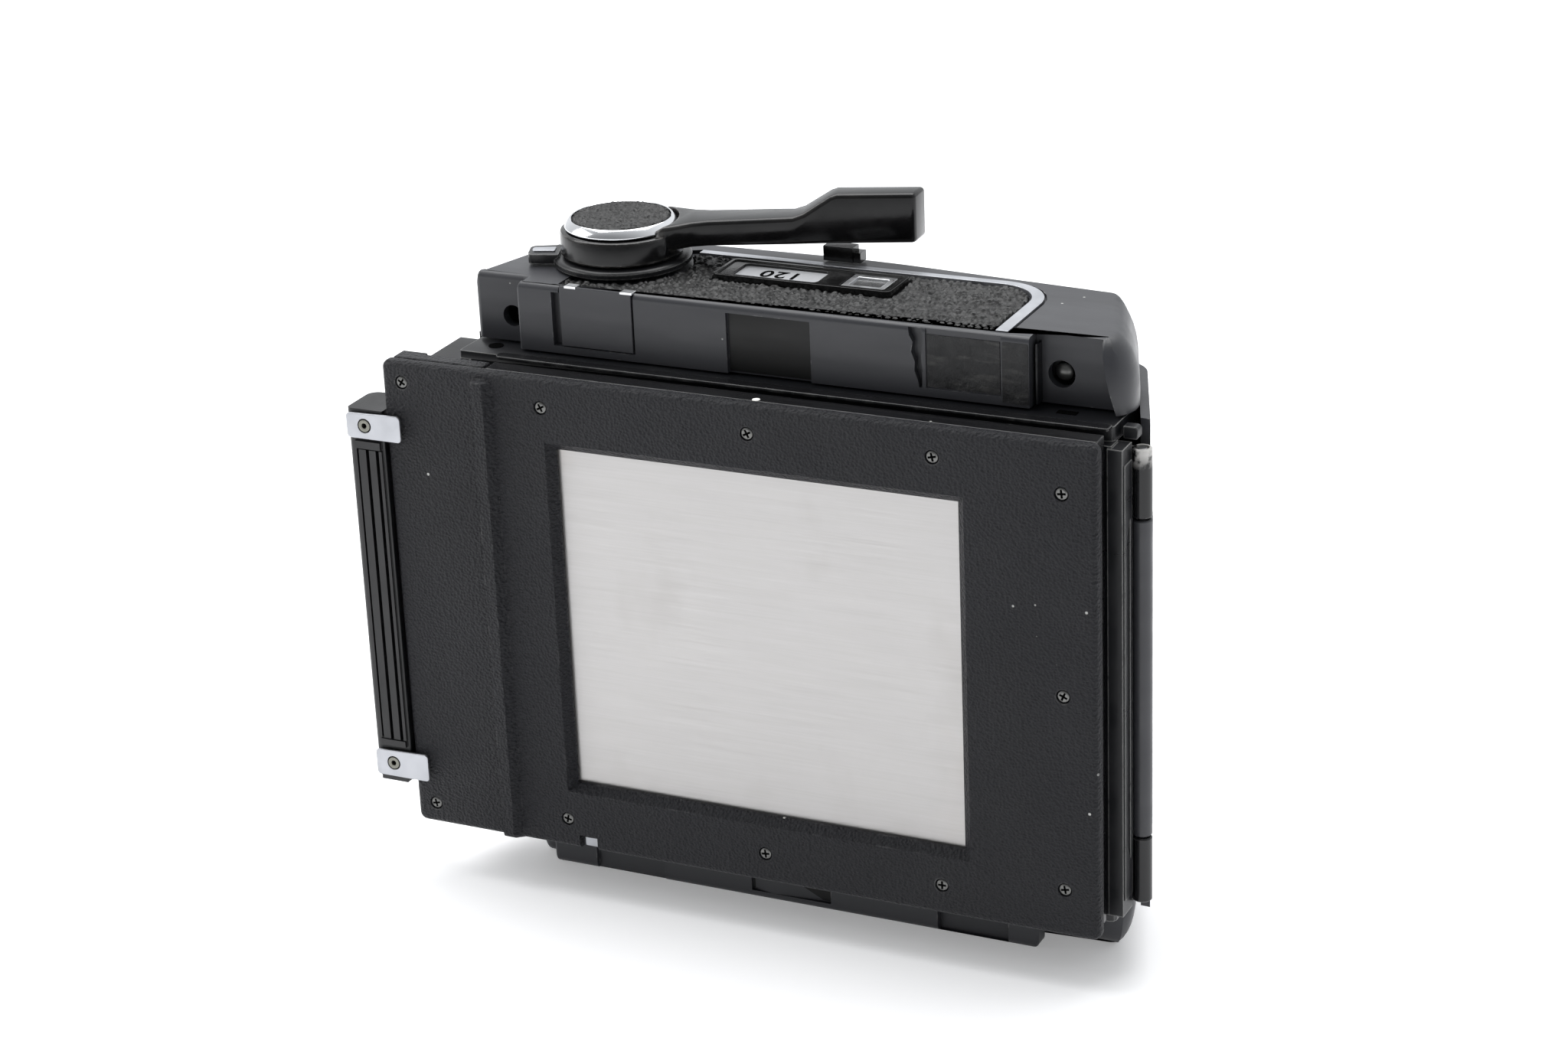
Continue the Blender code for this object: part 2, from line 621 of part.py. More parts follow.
def hub_pieces():
    ring = turned(
        [(6.0, 105.5), (9.7, 105.5), (9.7, 105.9), (8.9, 106.9), (8.75, 106.9), (8.75, 106.2),
         (6.0, 106.2)],
        HUB, 28,
    )
    piece("hub_ring", ring, CHROME, (*HUB, 103))
    piece("hub_disc", rod(8.4, HUB, (106.5, 107.0), 28), LEATHERETTE, (*HUB, 103))
    skirt = [(5.2, 99.0), (11.8, 99.0), (11.8, 99.9), (11.4, 100.4), (5.2, 100.4)]
    tab = box((-16.2, -11.0), (-2.9, 2.9), (99.2, 101.4))
    tab.data.transform(Matrix.Translation((*HUB, 0)) @ Matrix.Rotation(math.radians(20), 4, "Z"))
    piece("selector_ring", fuse(turned(skirt, HUB, 28), tab), BLACK_PAINT, (*HUB, 100))
    spring = coil(HUB, 4.6, 0.45, (92.2, 96.0), 3)
    piece("lever_return_spring", spring, SPRING_STEEL)


def release_slider():
    knob = box((65.6, 72.0), (37.3, 39.9), (99.05, 101.0), 0.4)
    return piece("release_slider", knob, BLACK_PLASTIC, (68.8, 38.6, 100))


def winding_train():
    shaft = turned(
        [(0, 71.5), (STUD_R, 71.5), (STUD_R, 76.4), (COLLAR_R, 76.4), (COLLAR_R, 79.0),
         (SHAFT_R, 79.0), (SHAFT_R, 103.6), (0, 103.6)],
        HUB, 16,
    )
    piece("winding_shaft", shaft, SPRING_STEEL, (*HUB, 90))
    piece("wind_gear", gear(WIND_TEETH, HUB, GEAR_Z, SHAFT_BORE), GEAR_BRASS, (*HUB, 90))
    half = math.pi / IDLER_TEETH
    idler = fuse(gear(IDLER_TEETH, IDLER, GEAR_Z, 0, half), rod(1.8, IDLER, (86.7, 92.5), 10))
    piece("idler_gear", idler, GEAR_BRASS, (*IDLER, 90))
    wheel = gear(COUNTER_TEETH, COUNTER, GEAR_Z, 0)
    stem = rod(2.4, COUNTER, (86.7, 94.0), 12)
    dial = rod(12.3, COUNTER, (93.4, 94.2), 28)
    piece("counter_dial", fuse(wheel, stem, dial), LABEL_WHITE, (*COUNTER, 90))


def spools():
    low, high = SPOOL_Z
    profile = [
        (0, low + 6), (STUD_R + 0.4, low + 6), (STUD_R + 0.4, low), (SPOOL_FLANGE_R, low),
        (SPOOL_FLANGE_R, low + 1), (SPOOL_CORE_R, low + 1), (SPOOL_CORE_R, high - 1),
        (SPOOL_FLANGE_R, high - 1), (SPOOL_FLANGE_R, high), (STUD_R + 0.4, high),
        (STUD_R + 0.4, high - 6), (0, high - 6),
    ]
    for name, centre in (("take_up", HUB), ("supply", SUPPLY)):
        piece(f"{name}_spool", turned(profile, centre, 24), BLACK_PLASTIC, (*centre, 42))
        stud = turned(
            [(0, -4.5), (1.6, -4.5), (1.6, 6.4), (COLLAR_R, 6.4), (COLLAR_R, 8.8),
             (STUD_R, 8.8), (STUD_R, 12.0), (0, 12.0)],
            centre, 12,
        )
        piece(f"{name}_lower_stud", stud, BRIGHT_ALLOY, (*centre, 5))
        piece(f"{name}_stud_spring", coil(centre, 2.9, 0.35, (1.65, 6.05), 2), SPRING_STEEL)
    upper = turned(
        [(0, 71.5), (STUD_R, 71.5), (STUD_R, 78), (COLLAR_R, 78), (COLLAR_R, 83.2),
         (STUD_R, 83.2), (STUD_R, 86.1), (0, 86.1)],
        SUPPLY, 12,
    )
    piece("supply_upper_stud", upper, BRIGHT_ALLOY)


def film_path():
    profile = [
        (0, 0.1), (ROLLER_END_R, 0.1), (ROLLER_END_R, 8.4), (ROLLER_R, 8.4), (ROLLER_R, 76.4),
        (ROLLER_END_R, 76.4), (ROLLER_END_R, 84.8), (0, 84.8),
    ]
    for side, centre in zip(("left", "right"), ROLLERS):
        piece(f"film_roller_{side}", turned(profile, centre, 16), BRIGHT_ALLOY, (*centre, 42))
    plate = box((30, 105.2), (9.4, 10.2), (11.5, 73.1))
    piece("pressure_plate", plate, BLACK_PAINT, (67.6, 9.8, 42.3))
    for level, middle in (("upper", 58), ("lower", 26)):
        outline = []
        for k in range(9):
            reach = -1 + k / 4
            outline.append((67.6 + 22 * reach, 10.6 + 1.1 * reach * reach))
        outline += [(x, y + 0.35) for x, y in reversed(outline)]
        piece(f"pressure_spring_{level}", prism(outline, (middle - 4, middle + 4)), SPRING_STEEL)
    carriage = box((24, 111), (12.45, 13.3), (1.7, 83.2))
    piece("spool_carriage", carriage, BLACK_PAINT)


def hinge():
    low, join_low, join_high, high = KNUCKLE_Z
    leaf = box((128.3, 129.4), (10.95, 11.75), (low + 0.3, high - 0.3))
    parts = []
    for z in ((low, join_low - GAP / 2), (join_high + GAP / 2, high)):
        parts.append(box((128.9, 131.5), (10.95, 11.75), z))
        parts.append(rod(KNUCKLE_R, HINGE, z))
    leaf = cut(fuse(leaf, *parts), rod(KNUCKLE_BORE, HINGE, (0, 90), 12))
    piece("hinge_leaf", leaf, BLACK_PAINT)
    piece("hinge_pin", rod(PIN_R, HINGE, (low + 0.1, high - 0.1), 12), SPRING_STEEL)


def door_skin():
    skin = [(x, y) for x, y in grown(rounded(DOOR_OUTER), 0.3) if 25 < x < 112 and y > 30]
    back = [(x, y + 0.5) for x, y in reversed(skin)]
    made = prism(skin + back, (6, 79))
    return piece("door_leatherette", made, LEATHERETTE, (HINGE.x, HINGE.y, 42))


def latch():
    hook = box((3.0, 7.1), (18.3, 19.4), (40, 45))
    button = fuse(box((2.6, 4.0), (11, 19.4), (37, 48), 0.3), hook)
    piece("door_latch", button, BRIGHT_ALLOY, (3.3, 15, 42))
    piece("interlock_tab", box((27.3, 29.5), (6.6, 7.6), (-3.4, -1.4)), BRIGHT_ALLOY)


def main():
    for thing in list(bpy.data.objects):
        bpy.data.objects.remove(thing)
    front_plate()
    plate_screws()
    light_trap_block()
    slide_frame()
    dark_slide()
    slide_handle()
    clips()
    holder_body()
    top_housing()
    bottom_housing()
    top_trim()
    wall_panel()
    winding_lever()
    hub_pieces()
    release_slider()
    winding_train()
    spools()
    film_path()
    hinge()
    back_door()
    door_skin()
    latch()


main()
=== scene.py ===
# %% [markdown]
# # A roll-film holder for a press camera
# The real thing is a flat metal box that takes the place of a sheet-film holder on the back of a
# camera. Its front plate meets the camera, a steel dark slide closes the picture window, and a
# lever on top winds the film from one spool to the other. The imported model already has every
# moving part in its true place, so this lesson keeps those places and gives each visible part its
# real edges and finish. Anything whose plain solid already has the right shape only gets a finish.

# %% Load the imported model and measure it
import json
import math
import random

import bmesh
import bpy
from mathutils import Matrix, Vector, noise


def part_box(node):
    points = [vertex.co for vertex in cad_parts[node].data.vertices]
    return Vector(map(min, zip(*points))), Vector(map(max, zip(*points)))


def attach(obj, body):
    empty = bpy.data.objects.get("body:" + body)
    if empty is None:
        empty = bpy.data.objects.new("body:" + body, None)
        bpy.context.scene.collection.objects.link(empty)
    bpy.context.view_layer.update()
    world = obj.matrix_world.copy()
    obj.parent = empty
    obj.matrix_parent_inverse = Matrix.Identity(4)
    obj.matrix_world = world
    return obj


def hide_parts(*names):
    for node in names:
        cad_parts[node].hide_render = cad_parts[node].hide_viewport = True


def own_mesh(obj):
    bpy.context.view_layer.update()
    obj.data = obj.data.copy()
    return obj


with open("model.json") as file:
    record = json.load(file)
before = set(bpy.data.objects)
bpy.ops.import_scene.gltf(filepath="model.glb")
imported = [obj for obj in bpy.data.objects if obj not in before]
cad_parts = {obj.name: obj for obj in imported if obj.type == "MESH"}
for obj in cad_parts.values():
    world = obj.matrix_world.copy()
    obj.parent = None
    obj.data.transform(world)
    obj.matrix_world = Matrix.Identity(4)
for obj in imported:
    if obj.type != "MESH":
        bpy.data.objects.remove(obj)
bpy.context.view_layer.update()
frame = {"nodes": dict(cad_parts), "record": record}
MM = 0.001
PLATE_EDGE = 1.2
SLIDE_FACE_Y = 2.15
plate_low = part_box("front_plate")[0]
CORNER = Vector((
    plate_low[0] + PLATE_EDGE * MM,
    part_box("dark_slide")[0][1] - SLIDE_FACE_Y * MM,
    plate_low[2] + PLATE_EDGE * MM,
))
print("lower left corner of the plate's face:", tuple(round(v, 5) for v in CORNER))

# %% [markdown]
# ## Working in millimetres
# A maker thinks of this part in millimetres from the plate's lower left corner: x along the
# plate, y back from its face, z up. Each bmesh is shaped in those units, and the last step turns
# it into metres at its true place, so every finished object sits at the origin, unturned. The
# alternative, moving objects about, would make patterns on Object coordinates slide.

# %% From a bmesh to a finished piece
SHARP = math.radians(34)


def to_mesh(shape):
    """A mesh from a bmesh, with doubles merged and the faces turned outwards."""
    bmesh.ops.remove_doubles(shape, verts=shape.verts, dist=1e-4)
    bmesh.ops.recalc_face_normals(shape, faces=shape.faces)
    mesh = bpy.data.meshes.new("shape")
    shape.to_mesh(mesh)
    shape.free()
    return mesh


def place(name, shape, finish, body, stands_for=(), edge=0.0, steps=2, flat=False):
    """Turns a bmesh in plate millimetres into a named piece that rides on a body."""
    mesh = to_mesh(shape)
    mesh.transform(Matrix.Translation(CORNER) @ Matrix.Scale(MM, 4))
    made = bpy.data.objects.new(name, mesh)
    mesh.name = name
    bpy.context.scene.collection.objects.link(made)
    mesh.materials.append(finish)
    if not flat:
        mesh.shade_smooth()
        mesh.set_sharp_from_angle(angle=SHARP)
    if edge:
        soften(made, edge, steps)
    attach(made, body)
    if stands_for:
        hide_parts(*stands_for)
    return made


def soften(made, width, steps=2):
    """Rounds the sharp edges by a width in millimetres."""
    rounding = made.modifiers.new("soft edges", "BEVEL")
    rounding.width = width * MM
    rounding.segments = steps
    rounding.limit_method = "ANGLE"
    rounding.angle_limit = SHARP
    rounding.harden_normals = True
    rounding.use_clamp_overlap = True
    return rounding


# %% [markdown]
# ## Four ways to start a shape
# Nearly everything here is a block, an outline with rounded corners pushed up into a prism, a
# profile spun round an axis, or one of those with others cut out of it. An outline's corners are
# rounded by bevelling its vertices while it is still a single flat face, which is exact and cheap.

# %% Blocks, outlines, turned shapes and cuts
def block(x, y, z):
    shape = bmesh.new()
    size = Matrix.Diagonal((x[1] - x[0], y[1] - y[0], z[1] - z[0], 1))
    centre = Vector(((x[0] + x[1]) / 2, (y[0] + y[1]) / 2, (z[0] + z[1]) / 2))
    bmesh.ops.create_cube(shape, size=1, matrix=Matrix.Translation(centre) @ size)
    return shape


def outline(corners, level, steps=6):
    """A flat face at a height from corners (x, y, radius)."""
    shape = bmesh.new()
    points = [shape.verts.new((x, y, level)) for x, y, _ in corners]
    shape.faces.new(points)
    count = len(corners)
    for i, point in enumerate(points):
        radius = corners[i][2]
        if not radius:
            continue
        here = Vector(corners[i][:2])
        before = Vector(corners[i - 1][:2]) - here
        after = Vector(corners[(i + 1) % count][:2]) - here
        reach = radius / math.tan(before.angle(after) / 2)
        bmesh.ops.bevel(
            shape, geom=[point], offset=reach, offset_type="OFFSET", segments=steps,
            profile=0.5, affect="VERTICES", material=-1,
        )
    return shape


def push(shape, vector):
    """Extrudes everything flat in the shape along a vector, into a closed solid."""
    grown = bmesh.ops.extrude_face_region(shape, geom=shape.faces[:], use_keep_orig=True)
    moved = [item for item in grown["geom"] if isinstance(item, bmesh.types.BMVert)]
    bmesh.ops.translate(shape, verts=moved, vec=vector)
    return shape


def prism(corners, z, steps=6):
    return push(outline(corners, z[0], steps), (0, 0, z[1] - z[0]))


def upright(corners, y, steps=6):
    """A prism whose outline lies in x and z, pushed back along y."""
    shape = prism(corners, (-y[1], -y[0]), steps)
    bmesh.ops.rotate(shape, verts=shape.verts, matrix=Matrix.Rotation(math.pi / 2, 3, "X"))
    return shape


def turned(profile, centre, sides=48):
    """A profile of (radius, z) spun once round a vertical axis."""
    shape = bmesh.new()
    points = [shape.verts.new((radius, 0, z)) for radius, z in profile]
    solid = any(radius == 0 for radius, _ in profile)
    last = len(points) - 1 if solid else len(points)
    edges = [shape.edges.new((points[i], points[(i + 1) % len(points)])) for i in range(last)]
    bmesh.ops.spin(
        shape, geom=points + edges, cent=(0, 0, 0), axis=(0, 0, 1), angle=2 * math.pi,
        steps=sides, use_merge=True,
    )
    bmesh.ops.remove_doubles(shape, verts=shape.verts, dist=1e-4)
    bmesh.ops.translate(shape, verts=shape.verts, vec=(*centre, 0))
    return shape


def facing(shape, x, z):
    """Lays a shape turned about (0, 0) so that its top points at the viewer, at x and z."""
    bmesh.ops.rotate(shape, verts=shape.verts, matrix=Matrix.Rotation(math.pi / 2, 3, "X"))
    bmesh.ops.translate(shape, verts=shape.verts, vec=(x, 0, z))
    return shape


def combine(shape, tools, way="DIFFERENCE", solver="EXACT"):
    """One boolean after another, which is how a mill would open pockets and holes."""
    helpers = []
    for part in [shape, *tools]:
        helper = bpy.data.objects.new("helper", to_mesh(part))
        bpy.context.scene.collection.objects.link(helper)
        helpers.append(helper)
    for tool in helpers[1:]:
        step = helpers[0].modifiers.new(way, "BOOLEAN")
        step.operation = way
        step.solver = solver
        step.object = tool
    graph = bpy.context.evaluated_depsgraph_get()
    result = bpy.data.meshes.new_from_object(helpers[0].evaluated_get(graph))
    made = bmesh.new()
    made.from_mesh(result)
    for helper in helpers:
        bpy.data.objects.remove(helper)
    bmesh.ops.dissolve_limit(
        made, angle_limit=math.radians(0.6), verts=made.verts, edges=made.edges,
    )
    return made


# %% [markdown]
# ## Finishes
# Almost everything is black, so the finishes differ by their grain and shine: crinkle paint on
# the plate, satin paint on the housings, glossy enamel on the lever and pebbled leatherette on
# top. Each one is a Principled shader whose bump and roughness come from noise on Object
# coordinates. Wear is found with a Bevel node: where the rounded normal differs from the true
# one there is an edge, and noise decides how much paint has gone from it.

# %% The parts that every finish is made from
class Finish:
    """A Principled material and the few nodes that these finishes need."""

    def __init__(self, name, colour, roughness, metallic=0.0, coat=0.0, specular=0.5):
        self.material = bpy.data.materials.new(name)
        self.material.use_nodes = True
        self.tree = self.material.node_tree
        self.shader = self.tree.nodes["Principled BSDF"]
        self.set("Base Color", (*colour, 1))
        self.set("Roughness", roughness)
        self.set("Metallic", metallic)
        self.set("Coat Weight", coat)
        self.set("Coat Roughness", 0.12)
        self.set("Specular IOR Level", specular)
        self.colour = None
        self.material.diffuse_color = (*colour, 1)
        self.place = self.tree.nodes.new("ShaderNodeTexCoord").outputs["Object"]

    def set(self, socket, value):
        self.shader.inputs[socket].default_value = value

    def link(self, output, socket):
        self.tree.links.new(output, socket)
        return output

    def noise(self, scale, detail=3.0, stretch=(1, 1, 1), roughness=0.55):
        """Noise of a scale per metre, stretched by a factor along each axis."""
        mapping = self.tree.nodes.new("ShaderNodeMapping")
        mapping.inputs["Scale"].default_value = stretch
        self.link(self.place, mapping.inputs["Vector"])
        made = self.tree.nodes.new("ShaderNodeTexNoise")
        made.inputs["Scale"].default_value = scale
        made.inputs["Detail"].default_value = detail
        made.inputs["Roughness"].default_value = roughness
        self.link(mapping.outputs["Vector"], made.inputs["Vector"])
        return made.outputs["Fac"]

    def cells(self, scale, feature="F1", output="Distance", smooth=None):
        made = self.tree.nodes.new("ShaderNodeTexVoronoi")
        made.feature = feature
        made.inputs["Scale"].default_value = scale
        if smooth is not None:
            made.inputs["Smoothness"].default_value = smooth
        self.link(self.place, made.inputs["Vector"])
        return made.outputs[output]

    def ramp(self, value, low, high, start=0.0, end=1.0):
        """Turns values from low to high into start to end, held at both ends."""
        made = self.tree.nodes.new("ShaderNodeMapRange")
        made.inputs["From Min"].default_value = low
        made.inputs["From Max"].default_value = high
        made.inputs["To Min"].default_value = start
        made.inputs["To Max"].default_value = end
        self.link(value, made.inputs["Value"])
        return made.outputs["Result"]

    def math(self, operation, first, second):
        made = self.tree.nodes.new("ShaderNodeMath")
        made.operation = operation
        for socket, value in zip(made.inputs, (first, second)):
            if isinstance(value, (int, float)):
                socket.default_value = value
            else:
                self.link(value, socket)
        return made.outputs["Value"]

    def paint(self, mask, colour):
        """Lays another colour over the present one wherever the mask is 1."""
        mix = self.tree.nodes.new("ShaderNodeMix")
        mix.data_type = "RGBA"
        under, over = mix.inputs[6], mix.inputs[7]
        if self.colour is None:
            under.default_value = self.shader.inputs["Base Color"].default_value
        else:
            self.link(self.colour, under)
        over.default_value = (*colour, 1)
        self.link(mask, mix.inputs["Factor"])
        self.colour = self.link(mix.outputs[2], self.shader.inputs["Base Color"])

    def bump(self, height, distance, strength=1.0):
        """Bump of a depth in millimetres, on top of any bump already there."""
        made = self.tree.nodes.new("ShaderNodeBump")
        made.inputs["Distance"].default_value = distance * MM
        made.inputs["Strength"].default_value = strength
        self.link(height, made.inputs["Height"])
        normal = self.shader.inputs["Normal"]
        if normal.is_linked:
            self.link(normal.links[0].from_socket, made.inputs["Normal"])
        self.link(made.outputs["Normal"], normal)

    def edges(self, radius, low, high, seed_scale):
        """A mask that is 1 on worn edges, for a rounding radius in millimetres."""
        rounded = self.tree.nodes.new("ShaderNodeBevel")
        rounded.samples = 4
        rounded.inputs["Radius"].default_value = radius * MM
        geometry = self.tree.nodes.new("ShaderNodeNewGeometry")
        dot = self.tree.nodes.new("ShaderNodeVectorMath")
        dot.operation = "DOT_PRODUCT"
        self.link(rounded.outputs["Normal"], dot.inputs[0])
        self.link(geometry.outputs["Normal"], dot.inputs[1])
        bent = self.ramp(dot.outputs["Value"], 0.985, 0.80)
        patchy = self.ramp(self.noise(seed_scale, 4), low, high)
        return self.math("MULTIPLY", bent, patchy)

    def height(self):
        """The height of a point above the ground, in metres."""
        made = self.tree.nodes.new("ShaderNodeSeparateXYZ")
        self.link(self.place, made.inputs["Vector"])
        return made.outputs["Z"]

    def specks(self, scale, size, colour, share):
        """Small dust marks or chips: the middles of a few of the cells."""
        spots = self.ramp(self.cells(scale), size, size * 0.6)
        pick = self.ramp(self.noise(scale * 0.23, 1), 1 - share, 1 - share + 0.02)
        self.paint(self.math("MULTIPLY", spots, pick), colour)

    def shine(self, value):
        self.link(value, self.shader.inputs["Roughness"])


# %% [markdown]
# ### Crinkle paint and satin paint
# Crinkle paint dries into soft cells about half a millimetre wide with fine pits between them.
# Smooth Voronoi gives the cells and a finer noise breaks them up. Satin paint is nearly smooth;
# long faint rubs in its roughness and a few dust specks stop it looking like plastic fresh from
# a mould.

# %% Black paints
DUST = (0.42, 0.42, 0.40)


def crinkle_paint():
    made = Finish("crinkle paint", (0.0090, 0.0094, 0.0124), 0.42, specular=0.28)
    made.bump(made.cells(1900, "SMOOTH_F1", smooth=0.4), 0.34)
    made.bump(made.noise(2100, 4, (1, 1, 1.4), 0.65), 0.34)
    made.shine(made.ramp(made.noise(60, 4), 0.3, 0.7, 0.36, 0.50))
    made.paint(made.ramp(made.noise(35, 5), 0.45, 0.8, 0.0, 0.35), (0.014, 0.014, 0.0145))
    made.paint(made.edges(0.55, 0.50, 0.66, 260), (0.10, 0.10, 0.10))
    made.specks(240, 0.07, (0.6, 0.6, 0.58), 0.40)
    return made.material


def satin_paint(name, colour=(0.0060, 0.0064, 0.0080), roughness=0.30, wear=0.0, specular=0.42):
    made = Finish(name, colour, roughness, specular=specular)
    rubs = made.noise(90, 5, (0.35, 1, 2.5))
    made.shine(made.ramp(rubs, 0.3, 0.72, roughness - 0.05, roughness + 0.16))
    made.paint(made.ramp(made.noise(140, 6, (0.5, 1, 1)), 0.62, 0.8, 0.0, 0.5), (0.022, 0.022, 0.022))
    made.bump(made.noise(2600, 2), 0.008)
    if wear:
        made.paint(made.edges(0.35, 0.62 - wear, 0.80 - wear, 420), (0.32, 0.32, 0.31))
    made.specks(210, 0.055, DUST, 0.38)
    return made.material


def gloss_enamel():
    made = Finish("gloss enamel", (0.003, 0.003, 0.0035), 0.18, coat=0.10, specular=0.34)
    made.shine(made.ramp(made.noise(120, 5), 0.35, 0.7, 0.12, 0.28))
    made.bump(made.noise(900, 2), 0.010)
    made.paint(made.edges(1.3, 0.30, 0.62, 160), (0.075, 0.070, 0.064))
    made.paint(made.edges(0.45, 0.48, 0.62, 500), (0.34, 0.33, 0.32))
    made.specks(300, 0.06, DUST, 0.42)
    return made.material


CRINKLE = crinkle_paint()
SATIN = satin_paint("satin paint", wear=0.05)
HOUSING_PAINT = satin_paint("housing paint", (0.034, 0.035, 0.040), 0.34, wear=0.03, specular=0.47)
WORN_PAINT = satin_paint("worn satin paint", wear=0.38)
DEEP_BLACK = satin_paint("deep black", (0.005, 0.005, 0.005), 0.34, specular=0.3)


def scuffed_paint():
    """Paint that has been rubbed and rippled where another part used to be glued on."""
    made = Finish("scuffed paint", (0.010, 0.0102, 0.011), 0.40, specular=0.40)
    made.bump(made.noise(330, 6, (1, 1, 0.6), 0.7), 0.55)
    made.shine(made.ramp(made.noise(500, 5), 0.3, 0.7, 0.28, 0.52))
    made.paint(made.ramp(made.noise(420, 6, (0.3, 1, 1.4)), 0.56, 0.70, 0.0, 0.8), (0.055, 0.054, 0.052))
    return made.material


SCUFFED = scuffed_paint()
# Near-black for painted shade in slots, holes and recesses, and also the print of the digits.
SHADE_AND_PRINT_BLACK = satin_paint("painted shade and print black", (0.001, 0.001, 0.001), 0.85, specular=0.03)
ENAMEL = gloss_enamel()
RAIL_BLACK = satin_paint("rail black", (0.006, 0.006, 0.007), 0.17, wear=0.16)
COLLAR_PAINT = satin_paint("collar paint", (0.008, 0.008, 0.009), 0.24, wear=0.25)


def hinge_paint():
    """Black paint, rubbed down to white metal at the top end of the hinge."""
    made = Finish("hinge paint", (0.006, 0.006, 0.007), 0.24, specular=0.42)
    made.shine(made.ramp(made.noise(90, 5, (1, 1, 0.4)), 0.3, 0.7, 0.18, 0.34))
    top_end = made.ramp(made.height(), 0.0900, 0.0925)
    rubbed = made.math("MULTIPLY", top_end, made.ramp(made.noise(480, 4), 0.40, 0.52))
    made.paint(rubbed, (0.55, 0.54, 0.52))
    made.paint(made.edges(0.3, 0.50, 0.62, 420), (0.30, 0.30, 0.29))
    return made.material


HINGE_PAINT = hinge_paint()
print("paints made")

# %% [markdown]
# ### Bare metals
# Brushed steel is drawn along the slide, so its roughness and bump noise are stretched that way.
# The clips are a finer satin alloy, the ring is polished chrome, and screws are darkened steel.

# %% Steel, alloy, chrome and brass
def brushed_steel():
    made = Finish("brushed steel", (0.49, 0.48, 0.475), 0.42, metallic=0.86)
    lines = made.noise(60, 4, (1, 1, 60))
    made.shine(made.ramp(lines, 0.25, 0.75, 0.36, 0.50))
    made.paint(made.ramp(made.noise(60, 3, (1, 1, 50)), 0.3, 0.8, 0.0, 0.5), (0.44, 0.43, 0.415))
    made.paint(made.ramp(made.noise(45, 4, (1, 1, 0.7)), 0.56, 0.72, 0.0, 0.45), (0.40, 0.385, 0.37))
    made.paint(made.ramp(made.noise(22, 5), 0.60, 0.85, 0.0, 0.35), (0.58, 0.50, 0.43))
    made.bump(lines, 0.006)
    return made.material


def metal(name, colour, roughness, grain=900, depth=0.004, metallic=1.0):
    made = Finish(name, colour, roughness, metallic=metallic)
    made.shine(made.ramp(made.noise(grain * 0.4, 4), 0.3, 0.7, roughness * 0.85, roughness * 1.25))
    made.bump(made.noise(grain, 3), depth)
    made.paint(made.ramp(made.noise(grain * 0.12, 4), 0.55, 0.8, 0.0, 0.3), tuple(c * 0.7 for c in colour))
    return made.material


STEEL_SLIDE = brushed_steel()
SATIN_ALLOY = metal("satin alloy", (0.80, 0.81, 0.83), 0.30)
CHROME = metal("chrome", (0.82, 0.83, 0.85), 0.13, 300, 0.001)
CLIP_ALLOY = metal("clip alloy", (0.455, 0.465, 0.49), 0.40, 900, 0.006)
RIVET = metal("clip rivet", (0.20, 0.20, 0.175), 0.34, 1500, 0.006)
SCREW_STEEL = metal("darkened screw steel", (0.16, 0.16, 0.155), 0.36, 2000, 0.01)
BRASS = metal("gear brass", (0.62, 0.46, 0.20), 0.32)
SPRING_STEEL = metal("spring steel", (0.46, 0.46, 0.47), 0.30)
print("metals made")

# %% [markdown]
# ### Leatherette, plastics, label and window
# The leatherette on top has rounded pebbles about a millimetre across. They are real geometry on
# the piece itself, so the finish only adds the fine pores between them.

# %% Coverings and small parts
def leatherette(name, colour=(0.0105, 0.0105, 0.0105)):
    made = Finish(name, colour, 0.46, specular=0.42)
    made.bump(made.noise(4200, 3), 0.05)
    made.shine(made.ramp(made.noise(700, 3), 0.3, 0.7, 0.36, 0.58))
    made.specks(330, 0.06, DUST, 0.40)
    return made.material


def plastic(name, colour, roughness):
    made = Finish(name, colour, roughness)
    made.shine(made.ramp(made.noise(150, 4), 0.3, 0.7, roughness - 0.06, roughness + 0.10))
    made.bump(made.noise(1800, 3), 0.012)
    return made.material


def clear_window():
    made = Finish("clear window", (0.95, 0.96, 0.97), 0.05)
    made.set("Transmission Weight", 0.95)
    made.set("IOR", 1.46)
    made.bump(made.noise(40, 2), 0.01)
    return made.material


LEATHER_FINE = leatherette("fine leatherette")
BLACK_PLASTIC = plastic("black plastic", (0.0035, 0.0036, 0.0044), 0.40)
GLOSS_PLASTIC = plastic("gloss black plastic", (0.007, 0.007, 0.007), 0.14)
SPOOL_PLASTIC = plastic("spool plastic", (0.016, 0.016, 0.017), 0.40)
LABEL_SILVER = metal("label silver", (0.58, 0.59, 0.61), 0.34, 500, 0.002, metallic=0.55)
DIAL_WHITE = plastic("dial white", (0.62, 0.62, 0.60), 0.45)
DOT_WHITE = plastic("dot paint", (0.78, 0.77, 0.74), 0.5)
WINDOW = clear_window()
print("coverings and plastics made")

# %% [markdown]
# ## The one part that keeps its plain solid
# The dark slide is a flat sheet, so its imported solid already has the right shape. It only takes
# the brushed steel.

# %% Finish the dark slide
for slot in frame["nodes"]["dark_slide"].material_slots:
    slot.material = STEEL_SLIDE
print("finished the dark slide")
